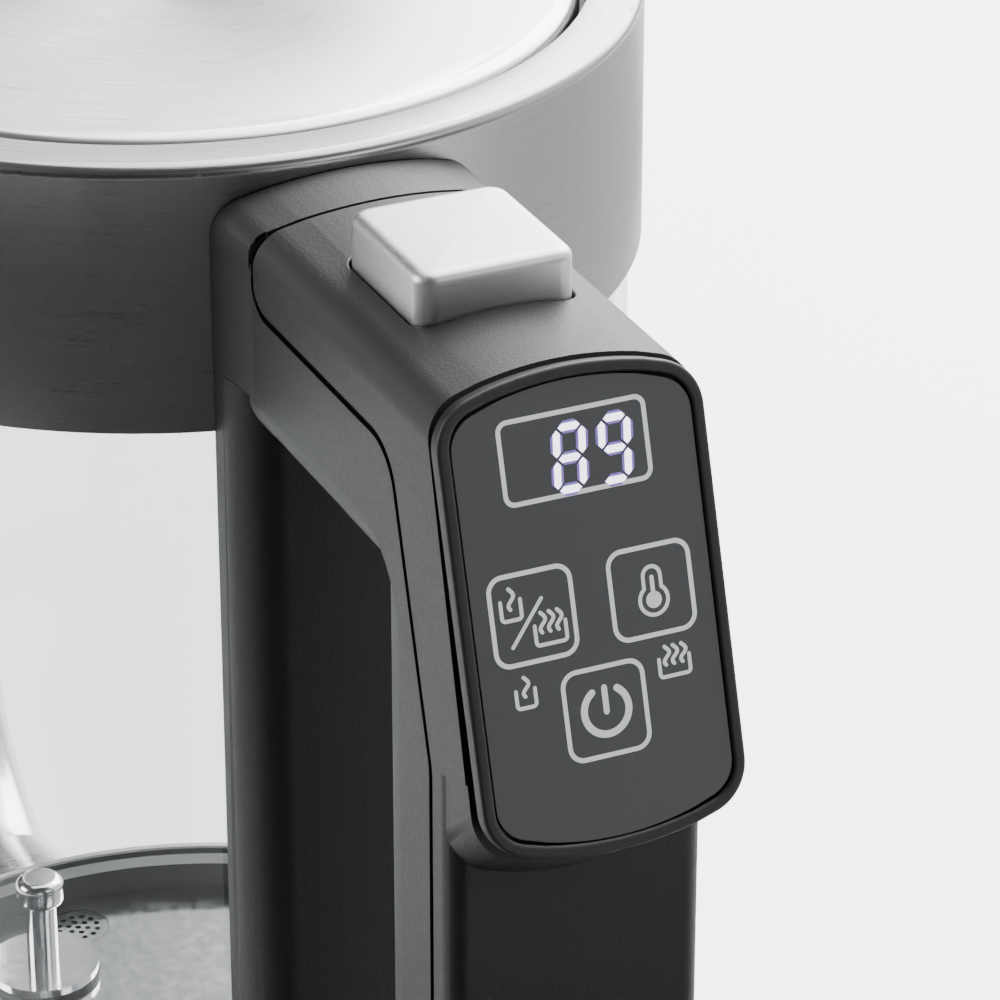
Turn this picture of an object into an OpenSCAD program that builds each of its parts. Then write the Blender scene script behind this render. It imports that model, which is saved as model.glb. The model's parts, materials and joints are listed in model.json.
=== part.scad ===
// Electric gooseneck kettle: glass jug, hinged steel lid, touch panel in the handle, cordless power base.
// Millimetres, +Z up. The origin is on the jug's axis at the table. +X points to the handle, -X to the spout.

/* [Jug] */
// Outer diameter of the steel collar and skirt
jug_d = 150; // [140:1:160]
// Height of the steel collar
collar_h = 41.7; // [38:0.1:50]
// Height of the glass seen between skirt and collar
window_h = 158.3; // [140:0.1:175]
// Height of the steel skirt round the heater
skirt_h = 40; // [38:1:50]
// Sheet thickness of the collar and skirt
steel_wall = 1.2; // [0.8:0.1:1.5]
// Wall of the glass cylinder
glass_wall = 2.8; // [2.2:0.1:3.4]
// Depth of the glass inside the collar
glass_insert = 10; // [8:0.5:11]
// Width of the flat rim round the lid
rim_w = 8.2; // [7.5:0.1:10]
// Rounding of the rim's outer edge
rim_round = 2; // [1.5:0.1:3]
// Thickness of the heating plate
plate_t = 1.2; // [0.8:0.1:1.6]

/* [Lid] */
// Gap between lid and rim
lid_gap = 1.8; // [1.4:0.1:2.4]
// Radius of the lid cover's rolled edge
lid_edge_r = 3; // [2:0.1:3.4]
// Height of the lid's inner body
lid_body_h = 14; // [12:0.5:15]
// Sheet thickness of the lid cover
cover_t = 0.6; // [0.5:0.1:0.8]
// Diameter of the hinge pin
pin_d = 2.5; // [2.3:0.1:2.7]

/* [Handle] */
// Width of the arm, head and grip
handle_w = 38.5; // [36:0.5:42]
// Width of the leg and shoe on the jug
leg_w = 41; // [39:0.5:46]
// Thickness of the leg
leg_t = 8; // [7.5:0.1:10]
// Clear width between leg and grip
hand_gap = 40.5; // [36:0.5:50]
// Height of the handle's foot above the jug's underside
handle_lift = 17; // [15:1:22]
// Thickness of the grip, front to back
grip_t = 28.5; // [27:0.5:34]
// Height of the upper arm
arm_h = 32.3; // [31:0.1:38]
// Height of the lower arm
lower_arm_h = 33; // [28:1:36]
// Wall of the handle shells
shell_wall = 2.5; // [2:0.1:3]
// Width of the seam between the two shells
seam_gap = 0.45; // [0.2:0.05:0.6]

/* [Panel] */
// Length of the touch panel
panel_len = 66; // [64:0.5:70]
// Width of the touch panel
panel_w = 38.6; // [37.5:0.1:40]
// Lean of the touch panel from the vertical, in degrees
panel_tilt = 17; // [12:0.5:20]
// How far the head stands out past the grip
head_overhang = 13.2; // [11:0.1:15]
// Width of the bezel's visible ring
bezel_w = 1.2; // [1:0.1:1.6]
// Diameter of each touch pad
pad_d = 10; // [7:0.5:11]

/* [Lid button] */
// Length of the button along the arm
button_len = 25.2; // [24:0.1:27]
// Width of the button
button_w = 23.5; // [20:0.5:25]
// Height of the button above the arm
button_rise = 6.3; // [5.5:0.1:9]
// Travel of the button
button_travel = 4; // [3:0.5:4]

/* [Spout] */
// Outer radius of the gooseneck at its foot
neck_r = 9.5; // [8.5:0.1:9.5]
// Outer radius of the gooseneck at its tip
tip_r = 6; // [5:0.1:7]
// Wall of the gooseneck tube
spout_wall = 1; // [0.8:0.1:1.2]
// Bend radius at the foot of the gooseneck
foot_bend = 36; // [24:1:40]
// Bend radius below the tip
tip_bend = 26; // [20:1:34]
// Rise angle of the straight stretch, in degrees
neck_angle = 78; // [65:1:85]
// How far the top of the spout lies below the rim
tip_drop = 19; // [12:1:30]

/* [Power base] */
// Diameter of the power base
base_d = 156; // [152:1:175]
// Height of the power base
base_h = 20.7; // [20:0.1:26]
// Height of the rubber feet below the base
foot_h = 2; // [1.5:0.1:3]

/* [Hidden] */
$fn = 64;

// Clearances
fit = 0.15;
run = 0.4;
rest_gap = 0.3;
over = 1;

// Levels of the jug
jug_r = jug_d / 2;
z_jug = base_h + rest_gap;
z_skirt = z_jug + skirt_h;
z_collar = z_skirt + window_h;
z_top = z_collar + collar_h;
plate_z = z_skirt - 5;
plate_under = plate_z - plate_t;

// Radii of the jug's walls
steel_in = jug_r - steel_wall;
seal_lip = 0.7;
glass_r = steel_in - fit - seal_lip;
glass_in = glass_r - glass_wall;
glass_foot = plate_z + 1.8;
glass_top = z_collar + glass_insert;
seal_in = glass_in - 3.6;
seal_top = z_skirt;
seal_foot = plate_under - 1.8;
plate_r = glass_in - 1.2;

// Heater parts under the plate
diffuser_t = 3;
diffuser_r = plate_r - 11;
diffuser_under = plate_under - diffuser_t;
element_r = diffuser_r - 24;
element_tube_r = 3.6;
carrier_t = 2.5;
carrier_in = diffuser_r + 2.5;
carrier_under = seal_foot - carrier_t;
cover_floor_t = 3;
cover_top = z_jug + cover_floor_t;
post_r = 4;
post_at = carrier_in + post_r - 0.5;
post_angles = [30, 150, 270];
cutout_size = [30, 24, 8];
probe_inset = 11.95;
probe_at = [probe_inset - diffuser_r, -11];
probe_thread_r = 3;
probe_flange_r = 10;
probe_neck_r = 2.8;
probe_head_r = 4.3;
probe_h = 20;
probe_washer_t = 1;
screw_r = 1.5;
screw_head_r = 2.8;
screw_head_h = 1.6;

// Cordless connector
tower_r = 10;
tower_h = 12.7;
tower_top = base_h + tower_h;
blade_r = 5.3;
blade_t = 0.6;
center_pin_r = 1.4;
plug_r = 18.5;
plug_flange_r = 21;
plug_roof = tower_top + 1.2;
plug_top = plug_roof + 5.4;
contact_t = 0.8;

// Power base
base_r = base_d / 2;
base_wall = 1.6;
base_top = base_h - 1.5;
base_plate_t = 2.5;
base_plate_under = base_top - base_plate_t;
seat_r = [62, 68];
floor_t = 2.2;
floor_top = foot_h + floor_t;
trim_w = 3;
trim_t = 0.8;
trim_z = base_top - 6;
base_post_at = base_r - 22;
gland_r = 3.2;
gland_z = floor_top + 4;
gland_flange = 1;

// Lid and its hinge
rim_in = jug_r - rim_w;
lip_h = 2.2;
lid_r = rim_in - lid_gap;
liner_in = rim_in + 0.4;
liner_r = steel_in - fit;
liner_foot = glass_top + 2;
liner_top = z_top - lip_h - fit;
lid_body_r = lid_r - cover_t - fit;
lid_body_top = z_top - cover_t - fit;
lid_body_foot = lid_body_top - lid_body_h;
lid_wall = 2;
hinge_inset = 12;
hinge_back = 12;
notch_back = 9;
hinge_drop = 3.4;
hinge_x = lid_r - hinge_inset;
hinge_z = z_top - hinge_drop;
pin_r = pin_d / 2;
ear_y = [9, 13];
ear_r = 2.3;
ear_foot = liner_foot + 2.5;
ear_foot_h = 4;
notch_y = ear_y[1] + 0.6;
barrel_r = 2.3;
barrel_y = [3.4, ear_y[0] - run];
lid_screw_angles = [60, 180, 300];
gasket_r = rim_in - 0.6;
gasket_h = 3;
gasket_z = z_top - 10;

// Latch between button and lid
latch_w = 7;
latch_h = 4;
latch_z = z_top - 23;
latch_nose = liner_in - 0.3;
strike_gap = 0.5;
strike_x = [lid_r - 3, liner_in - 1];
strike_foot = latch_z - 2;

// Levels and stations of the handle
handle_drop = 2.7;
arm_top = z_top - handle_drop;
arm_under = arm_top - arm_h;
handle_foot = z_jug + handle_lift;
gap_foot = handle_foot + lower_arm_h;
half_w = handle_w / 2;
half_leg = leg_w / 2;
leg_x = jug_r + leg_t;
grip_in = leg_x + hand_gap;
grip_out = grip_in + grip_t;
leg_back = jug_r - 12;
head_len = panel_len;
head_x = grip_out + head_overhang - head_len * sin(panel_tilt);
head_foot = [grip_out + head_overhang, arm_top - head_len * cos(panel_tilt)];
ledge_drop = 12;
plan_top = arm_under + 8;
ledge_z = head_foot[1] - ledge_drop;
shoe_r = jug_r + 12;
shoe_side_x = sqrt(shoe_r * shoe_r - half_w * half_w);
seam_z = arm_top - 14.3;
seam_depth = 17.6;
seam_inset = 6.4;
seam_x = grip_out - seam_inset;
arm_round = 6;
grip_round_out = 3;
grip_round_in = 12;
leg_round = 7;
arm_edge = 8;
hand_corner = 14;
far = 60;

// X of the panel's plane at a height
function plane_x(z) = head_x + (arm_top - z) * tan(panel_tilt);
// Height at which the panel's plane reaches an X
function plane_z(x) = arm_top - (x - head_x) / tan(panel_tilt);

// Panel stack, measured outwards from the panel's plane
panel_mid_s = panel_len / 2;
panel_mid = [head_x + panel_mid_s * sin(panel_tilt), 0, arm_top - panel_mid_s * cos(panel_tilt)];
panel_arch = 3.5;
panel_corner_r = 7;
bezel_rise = 0.6;
bezel_under = -1.8;
bezel_back = -6.1;
neck_inset = 1.8;
rim_back = [-2, -5.2];
head_corner = 12;
head_corner_depth = 24;
head_droop = 20;
head_rim_inset = 0.3;
ledge_w = 1.8;
groove_w = 0.75;
fascia_t = 1.2;
fascia_top = 0.3;
fascia_back = fascia_top - fascia_t;
board_front = -8.6;
board_t = 1.6;
board_back = board_front - board_t;
board_size = [48, 29];
pillar_x = [-10.1, 20.2];
pillar_y = 12.2;
pillar_r = 2;
display_at = -20.8;
display_size = [11.4, 19.6];
upper_keys_at = -0.3;
upper_keys_y = 8.7;
power_key_at = 14.45;
lights_at = 9.7;
lights_y = 10.9;
light_size = [3.2, 2, 2.6];
buzzer_r = 6;
buzzer_h = 5;

// Hollows of the handle
cavity_half = half_w - shell_wall;
arm_cavity_x = shoe_r + shell_wall;
crown = panel_arch * cos(panel_tilt);
cavity_top = arm_top - shell_wall - 1.1;
cavity_shoulder = arm_top - shell_wall - crown - 0.3;
cavity_top_half = button_w / 2 + 1;
cavity_floor = arm_under + shell_wall;
head_floor = ledge_z + 9;
head_cavity_x = grip_in + grip_round_in + 2;
front_wall = (shell_wall - bezel_back) / cos(panel_tilt);
grip_cavity_half = half_w - grip_round_out - 1;
channel_x = jug_r + 2.2;
channel_w = 4;
channel_half = 2.5;
channel_foot = handle_foot + 4;
channel_top = cavity_floor + 5.5;
handle_screw_r = 2;
handle_screw_y = 13;
handle_screw_z = [handle_foot + 7, z_top - 13];
handle_screw_x = [liner_in - 1, steel_in - 4.6];

// Button and its guide
button_x = jug_r + 26;
button_end = button_x + button_len;
button_half = button_w / 2;
button_round = 3;
button_edge = 1.6;
button_top = arm_top + button_rise;
button_foot = arm_top - 5;
button_wall = 0.8;
guide_x = button_end - 5.5;
guide_r = 3;
guide_wall = 2;
guide_top = cavity_floor + 10.5;
guide_bottom = guide_top - 2;
button_spring_r = 4.5;
button_wire_r = 0.45;
wedge_half = 2;
wedge_x = button_x + 1.2;
wedge_top_x = wedge_x + 8;
wedge_foot = latch_z + 0.5;
wedge_shoulder = wedge_foot + 6.5;

// Latch stations along the arm
ramp_gap = 0.45;
ramp_x = wedge_top_x - (wedge_shoulder - latch_z) + ramp_gap;
latch_end = ramp_x + latch_h + 2.6;
window_x = wedge_x - button_travel - 2;
cross_x = arm_cavity_x + 1.6;
cross_w = 4;
cross_half = 11;
latch_spring_y = 8;
latch_spring_r = 2.2;
latch_wire_r = 0.35;
rib_x = latch_end - 1;
rib_w = 2;

// Spout stations: the water leaves through the heating plate and an elbow under it
elbow_r = 5.5;
elbow_wall = 0.9;
lip_r = 7.6;
inlet_x = seal_in - lip_r - 1;
spout_z = carrier_under - elbow_r - 1;
stub_r = elbow_r + 1.7;
flange_r = neck_r + 5;
flange_x = jug_r + 1.2;
flange_t = 2.5;
gasket_out_r = flange_r - 1;
bell_x = flange_x + flange_t;
bell_len = 18;
bell_r = neck_r + 3.5;
stub_in = steel_in - 8;
nut_t = 3;
nut_r = stub_r + 2.4;
nut_x = sqrt(steel_in * steel_in - nut_r * nut_r) - 0.05;
tip_angle = -8;
tip_len = 14;
socket_at = 6;
bend_steps = 12;
neck_steps = 6;
spout_sides = 32;
strainer_t = 0.8;
strainer_hole_r = 0.55;
strainer_pitch = 1.8;

// Wire harness inside the jug and handle, as a route chosen by hand from the parts it passes
wire_r = 1.4;
wire_x = channel_x + channel_w / 2;
arm_wire_z = cavity_floor + 3;
arm_wire_y = -(cavity_half - 3);
board_z = cover_top + 8;
board_base_t = 1.6;
board_base_x = [plug_flange_r, steel_in - 17.8];
board_base_half = 20;
relay_size = [19, 15, 9.8];
wire_entry_z = handle_foot + 9;
wire_route = [
    [board_base_x[1] - 4, 0, board_z + board_base_t + wire_r + 0.1],
    [board_base_x[1] + 6, 0, board_z + 6],
    [jug_r - 6, 0, wire_entry_z],
    [wire_x - 1, 0, wire_entry_z],
    [wire_x, 0, wire_entry_z + 10],
    [wire_x, 0, arm_under - 12],
    [wire_x, 0, arm_wire_z - 2.5],
    [wire_x + 1.2, 0, arm_wire_z],
    [arm_cavity_x + 2, 0, arm_wire_z],
    [arm_cavity_x + 12, arm_wire_y, arm_wire_z],
    [grip_in + 4, arm_wire_y, arm_wire_z],
    [head_cavity_x + 4, arm_wire_y + 2, arm_wire_z],
    panel_point([6, -11, board_back - 5]),
    panel_point([6, -11, board_back - 0.1])];

// A point given in the panel's own directions: down the panel, across it and out of it
function panel_point(p) = panel_mid + [
    p[0] * sin(panel_tilt) + p[2] * cos(panel_tilt),
    p[1],
    p[2] * sin(panel_tilt) - p[0] * cos(panel_tilt)];

// Outline of corners [x, y, rounding]
function unit(v) = v / norm(v);
function flat(c) = [c[0], c[1]];
function corner_arc(a, p, b, r, steps) =
    let (
        u = unit(a - p),
        v = unit(b - p),
        half = acos(u * v) / 2,
        c = p + unit(u + v) * r / sin(half),
        s = p + u * r / tan(half) - c,
        e = p + v * r / tan(half) - c,
        from = atan2(s[1], s[0]),
        raw = atan2(e[1], e[0]) - from,
        turn = raw > 180 ? raw - 360 : raw < -180 ? raw + 360 : raw)
    [for (i = [0:steps]) c + r * [cos(from + turn * i / steps), sin(from + turn * i / steps)]];
function outline(corners, steps = 8) =
    let (n = len(corners))
    [for (i = [0:n - 1])
        each corners[i][2] > 0
            ? corner_arc(flat(corners[(i + n - 1) % n]), flat(corners[i]), flat(corners[(i + 1) % n]),
                         corners[i][2], steps)
            : [flat(corners[i])]];

// Route with its corners cut twice, for a smooth bend
function cut_corners(p) = concat(
    [p[0]],
    [for (i = [0:len(p) - 2]) each [p[i] * 0.75 + p[i + 1] * 0.25, p[i] * 0.25 + p[i + 1] * 0.75]],
    [p[len(p) - 1]]);
function smooth_route(p) = cut_corners(cut_corners(p));

// Round tube of triangles along a route, closed at both ends
function along(p, i) = unit(p[min(i + 1, len(p) - 1)] - p[max(i - 1, 0)]);
function across(t, side) = unit(side - (side * t) * t);
module tube(route, r, sides, side = [0, 1, 0]) {
    count = len(route);
    points = [
        for (i = [0:count - 1])
            let (t = along(route, i), u = across(t, side), v = cross(t, u))
            for (k = [0:sides - 1])
                route[i] + r * (cos(360 * k / sides) * u + sin(360 * k / sides) * v)];
    walls = [
        for (i = [0:count - 2], k = [0:sides - 1])
            let (a = i * sides + k, b = i * sides + (k + 1) % sides)
            each [[a, b + sides, b], [a, a + sides, b + sides]]];
    start = [for (k = [1:sides - 2]) [0, k, k + 1]];
    last = (count - 1) * sides;
    end = [for (k = [1:sides - 2]) [last, last + k + 1, last + k]];
    polyhedron(points, concat(walls, start, end), convexity = 10);
}

// Helical spring along +Z from the origin
function coil(r, h, turns, rings = 10) = [
    for (i = [0:turns * rings]) [r * cos(360 * i / rings), r * sin(360 * i / rings), h * i / (turns * rings)]];
module spring(r, wire, h, turns) {
    translate([0, 0, wire * 1.05])
        tube(coil(r, h - 2.1 * wire, turns), wire, 6, [0, 0, 1]);
}

// Plain shapes used all over
module ring(r_in, r_out, z0, z1) {
    translate([0, 0, z0])
        difference() {
            cylinder(r = r_out, h = z1 - z0);
            translate([0, 0, -over]) cylinder(r = r_in, h = z1 - z0 + 2 * over);
        }
}
module disc(r, z0, z1) {
    translate([0, 0, z0]) cylinder(r = r, h = z1 - z0);
}
module block(x, y, z) {
    translate([x[0], y[0], z[0]]) cube([x[1] - x[0], y[1] - y[0], z[1] - z[0]]);
}
module x_rod(r, x0, x1, y, z) {
    translate([x0, y, z]) rotate([0, 90, 0]) cylinder(r = r, h = x1 - x0);
}
module y_rod(r, y0, y1, x, z) {
    translate([x, y0, z]) rotate([-90, 0, 0]) cylinder(r = r, h = y1 - y0);
}
module side_slab(corners, half) {
    rotate([90, 0, 0]) translate([0, 0, -half]) linear_extrude(2 * half) polygon(outline(corners));
}
module section_slab(corners, x0, x1) {
    translate([x0, 0, 0]) rotate([90, 0, 90]) linear_extrude(x1 - x0) polygon(outline(corners));
}
module plan_slab(corners, z0, z1) {
    translate([0, 0, z0]) linear_extrude(z1 - z0) polygon(outline(corners));
}
module on_panel() {
    translate(panel_mid) rotate([0, 90 - panel_tilt, 0]) children();
}
module around(angles, r) {
    for (a = angles) rotate(a) translate([r, 0, 0]) children();
}

// Power base
module base_shell() color([0.10, 0.10, 0.11]) {
    difference() {
        union() {
            ring(base_r - base_wall, base_r, foot_h, base_top - base_plate_t);
            rotate_extrude() polygon(outline([
                [tower_r + rest_gap, base_plate_under, 0],
                [base_r, base_plate_under, 0],
                [base_r, base_top, 1.6],
                [tower_r + rest_gap, base_top, 0]]));
            ring(seat_r[0], seat_r[1], base_plate_under, base_h);
            around([45, 165, 285], base_post_at) disc(post_r, floor_top, base_plate_under + over / 2);
        }
        ring(base_r - trim_t, base_r + over, trim_z, trim_z + trim_w);
        around([45, 165, 285], base_post_at) disc(screw_r, floor_top - over, floor_top + 8);
        x_rod(gland_r + fit, base_r - 2 * base_wall, base_r + over, 0, gland_z);
    }
}
module base_trim_ring() color([0.75, 0.75, 0.76]) {
    ring(base_r - trim_t + 0.05, base_r + 0.2, trim_z + 0.05, trim_z + trim_w - 0.05);
}
module base_floor() color([0.12, 0.12, 0.13]) {
    difference() {
        disc(base_r - base_wall - fit, foot_h, floor_top);
        around([45, 165, 285], base_post_at) {
            disc(screw_r + fit, 0, floor_top + over);
            disc(screw_head_r + fit, foot_h - over, foot_h + screw_head_h);
        }
    }
}
module base_connector() color([0.16, 0.16, 0.17]) {
    difference() {
        union() {
            disc(tower_r + 6, base_plate_under - 3, base_plate_under);
            disc(tower_r, base_plate_under - 3, tower_top);
        }
        ring(blade_r - contact_t - rest_gap, blade_r + blade_t + run, base_top - over, tower_top + over);
        disc(center_pin_r + rest_gap + contact_t, base_plate_under - 1.5, tower_top + over);
    }
}
module base_contacts() color([0.80, 0.62, 0.25]) {
    ring(blade_r - contact_t - rest_gap + 0.05, blade_r - rest_gap, base_top - over, tower_top - 3);
    ring(center_pin_r + rest_gap, center_pin_r + rest_gap + contact_t - 0.05,
         base_plate_under - 1.5, tower_top - 2);
}
module base_feet() color([0.14, 0.14, 0.14]) {
    around([0, 90, 180, 270], base_post_at) disc(6, 0, foot_h);
    disc(6, 0, foot_h);
}
module base_screws() color([0.70, 0.70, 0.72]) {
    around([45, 165, 285], base_post_at) {
        disc(screw_head_r, foot_h + 0.05, foot_h + screw_head_h);
        disc(screw_r - 0.02, foot_h + 0.1, floor_top + 7);
    }
}
module cord_gland() color([0.12, 0.12, 0.12]) {
    difference() {
        union() {
            x_rod(gland_r, base_r - base_wall - 3, base_r + gland_flange, 0, gland_z);
            x_rod(gland_r + gland_flange, base_r + 0.15, base_r + gland_flange + 0.4, 0, gland_z);
        }
        x_rod(gland_r - 1, base_r - base_wall - 3 - over, base_r + 3, 0, gland_z);
    }
}

// Cordless connector in the jug: round, so the jug turns freely on it
module jug_connector() color([0.18, 0.18, 0.19]) {
    difference() {
        union() {
            disc(plug_r, z_jug + rest_gap, plug_top);
            disc(plug_flange_r, cover_top + rest_gap, cover_top + rest_gap + 2);
        }
        disc(tower_r + run, z_jug - over, plug_roof);
        ring(blade_r - 0.05, blade_r + blade_t + 0.05, plug_roof - over, plug_roof + 3.4);
        disc(center_pin_r + 0.05, plug_roof - over, plug_roof + 3.4);
    }
}
module jug_contacts() color([0.82, 0.64, 0.28]) {
    ring(blade_r, blade_r + blade_t, z_jug + 5, plug_roof + 3.4);
    disc(center_pin_r, z_jug + 3.5, plug_roof + 3.4);
}

// Foot of the jug
module bottom_cover() color([0.10, 0.10, 0.11]) {
    difference() {
        union() {
            disc(jug_r, z_jug, z_jug + 1);
            disc(steel_in - fit, z_jug, cover_top);
            ring(steel_in - fit - 2, steel_in - fit, z_jug, cover_top + 6);
            for (y = [-14, 14]) translate([board_base_x[1] - 5, y, 0]) disc(3, z_jug + over, board_z);
        }
        disc(plug_r + run, z_jug - over, cover_top + over);
        around(post_angles, post_at) {
            disc(screw_r + fit, z_jug - over, cover_top + over);
            disc(screw_head_r + fit, z_jug - over, z_jug + screw_head_h);
        }
    }
}
module bottom_screws() color([0.70, 0.70, 0.72]) {
    around(post_angles, post_at) {
        disc(screw_head_r, z_jug + 0.05, z_jug + screw_head_h);
        disc(screw_r - 0.02, z_jug + 0.1, cover_top + 7);
    }
}
module skirt() color([0.72, 0.72, 0.73]) {
    difference() {
        ring(steel_in, jug_r, z_jug + 1, z_skirt);
        x_rod(wire_r + 0.6, jug_r - 6, jug_r + over, 0, wire_entry_z);
        x_rod(stub_r + fit, -jug_r - over, 6 - jug_r, 0, spout_z);
        handle_bolt_holes(handle_screw_z[0]);
    }
}
module seal_carrier() color([0.20, 0.20, 0.21]) {
    difference() {
        union() {
            ring(carrier_in, steel_in - fit, carrier_under, seal_foot);
            around(post_angles, post_at) disc(post_r, cover_top, carrier_under + over / 2);
        }
        around(post_angles, post_at) disc(screw_r, cover_top - over, cover_top + 8);
        block([-jug_r, 1 - carrier_in], [-nut_r - 1, nut_r + 1], [carrier_under - over, seal_foot + over]);
    }
}
module lower_glass_seal() color([0.13, 0.13, 0.14]) {
    difference() {
        ring(seal_in, steel_in - fit, seal_foot, seal_top);
        ring(glass_in - 0.1, glass_r + 0.1, glass_foot - 0.05, seal_top + over);
        ring(seal_in - over, plate_r + 0.1, plate_under, plate_z);
    }
}

// Heater
module heating_plate() color([0.72, 0.72, 0.74]) {
    difference() {
        disc(plate_r, plate_under, plate_z);
        translate(probe_at) disc(probe_thread_r + fit, plate_under - over, plate_z + over);
        translate([-inlet_x, 0]) disc(elbow_r + fit, plate_under - over, plate_z + over);
    }
}
module heat_diffuser() color([0.66, 0.67, 0.69]) {
    difference() {
        disc(diffuser_r, diffuser_under, plate_under);
        translate(probe_at) disc(probe_thread_r + fit, diffuser_under - over, plate_under + over);
        translate([-inlet_x, 0]) disc(lip_r + 1, diffuser_under - over, plate_under + over);
    }
}
module heating_element() color([0.45, 0.43, 0.42]) {
    element_z = diffuser_under - element_tube_r - 0.05;
    translate([0, 0, element_z]) rotate(200)
        rotate_extrude(angle = 320) translate([element_r, 0]) circle(element_tube_r);
    for (a = [200, 160])
        rotate(a) translate([element_r, 0, element_z - 12]) cylinder(r = element_tube_r - 1, h = 12);
}
module thermal_cutout() color([0.85, 0.82, 0.74]) {
    translate([-cutout_size[0] / 2, -cutout_size[1] / 2, diffuser_under - cutout_size[2]]) cube(cutout_size);
}
module power_board() color([0.10, 0.35, 0.20]) {
    block(board_base_x, [-board_base_half, board_base_half], [board_z, board_z + board_base_t]);
}
module power_relay() color([0.12, 0.16, 0.30]) {
    translate([board_base_x[0] + 6, -relay_size[1] / 2, board_z + board_base_t]) cube(relay_size);
}
module temperature_probe() color([0.74, 0.74, 0.75]) {
    flange_z = plate_z + probe_washer_t;
    head_z = plate_z + probe_h;
    translate(probe_at) {
        disc(probe_thread_r, diffuser_under - 7, flange_z + over / 2);
        disc(probe_flange_r, flange_z, flange_z + 1.5);
        disc(probe_neck_r, flange_z, head_z - probe_head_r);
        rotate_extrude() polygon(outline([
            [0, head_z - 5, 0], [probe_head_r, head_z - 5, 1.2], [probe_head_r, head_z, 1.6], [0, head_z, 0]]));
    }
}
module probe_washer() color([0.55, 0.20, 0.14]) {
    translate(probe_at) ring(probe_thread_r + fit, probe_flange_r + 0.2, plate_z, plate_z + probe_washer_t);
}
module probe_nut() color([0.78, 0.68, 0.40]) {
    translate(probe_at)
        difference() {
            translate([0, 0, diffuser_under - 3.2]) cylinder(r = probe_thread_r * 2, h = 3.2, $fn = 6);
            disc(probe_thread_r + 0.02, diffuser_under - 5, diffuser_under + over);
        }
}

// Glass and the collar round its mouth
module glass_body() color([0.80, 0.88, 0.90, 0.35]) {
    ring(glass_in, glass_r, glass_foot, glass_top);
}
module upper_glass_seal() color([0.85, 0.85, 0.84]) {
    difference() {
        ring(glass_in - 0.8, steel_in - fit, z_collar + 2, liner_foot);
        ring(glass_in - 0.1, glass_r + 0.1, z_collar, glass_top);
    }
}
module collar() color([0.74, 0.74, 0.75]) {
    difference() {
        rotate_extrude() {
            translate([steel_in, z_collar]) square([steel_wall, collar_h - rim_round]);
            translate([rim_in, z_top - steel_wall]) square([rim_w - rim_round, steel_wall]);
            translate([rim_in, z_top - lip_h]) square([steel_wall, lip_h]);
            translate([jug_r - rim_round, z_top - rim_round])
                difference() {
                    intersection() {
                        circle(rim_round);
                        square(rim_round);
                    }
                    circle(rim_round - steel_wall);
                }
        }
        latch_slot(jug_r - 4, jug_r + over);
        handle_bolt_holes(handle_screw_z[1]);
    }
}
module latch_slot(x0, x1) {
    block([x0, x1], [-latch_w / 2 - run, latch_w / 2 + run], [latch_z - run, latch_z + latch_h + run]);
}
module handle_bolt_holes(z) {
    for (y = [-handle_screw_y, handle_screw_y])
        x_rod(handle_screw_r + fit, jug_r - 12, jug_r + leg_t - 2, y, z);
}
module collar_liner() color([0.15, 0.15, 0.16]) {
    difference() {
        union() {
            ring(liner_in, liner_r, liner_foot, liner_top);
            for (side = [-1, 1]) {
                low = side > 0 ? ear_y[0] : -ear_y[1];
                high = low + ear_y[1] - ear_y[0];
                block([hinge_x - ear_r, liner_in + over], [low, high], [ear_foot, ear_foot + ear_foot_h]);
                block([hinge_x - ear_r, hinge_x + ear_r], [low, high], [ear_foot, hinge_z]);
                y_rod(ear_r, low, high, hinge_x, hinge_z);
            }
        }
        y_rod(pin_r + 0.02, -jug_r, jug_r, hinge_x, hinge_z);
        latch_slot(liner_in - 8, jug_r);
        handle_bolt_holes(handle_screw_z[1]);
        for (y = [-handle_screw_y, handle_screw_y])
            x_rod(screw_head_r + 1.2, handle_screw_x[0] - 6, handle_screw_x[0] + 2, y, handle_screw_z[1]);
    }
}

// Lid
module lid_hinge_pin() color([0.76, 0.76, 0.78]) {
    y_rod(pin_r, -ear_y[1] - 0.5, ear_y[1] + 0.5, hinge_x, hinge_z);
}
module lid_spring() color([0.60, 0.60, 0.62]) {
    length = 2 * (barrel_y[0] - 0.4);
    translate([hinge_x, -length / 2, hinge_z]) rotate([-90, 0, 0]) spring(pin_r + 0.75, 0.35, length, 6);
}
module lid_cover() color([0.80, 0.80, 0.81]) {
    difference() {
        rotate_extrude() {
            translate([0, z_top - cover_t]) square([lid_r - lid_edge_r, cover_t]);
            translate([lid_r - lid_edge_r, z_top - lid_edge_r])
                difference() {
                    intersection() {
                        circle(lid_edge_r);
                        square(lid_edge_r);
                    }
                    circle(lid_edge_r - cover_t);
                }
            translate([lid_r - cover_t, z_top - lid_edge_r - 2]) square([cover_t, 2]);
        }
        block([hinge_x, jug_r], [-notch_y, notch_y], [lid_body_foot, z_top - lid_edge_r - 0.2]);
    }
}
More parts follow.
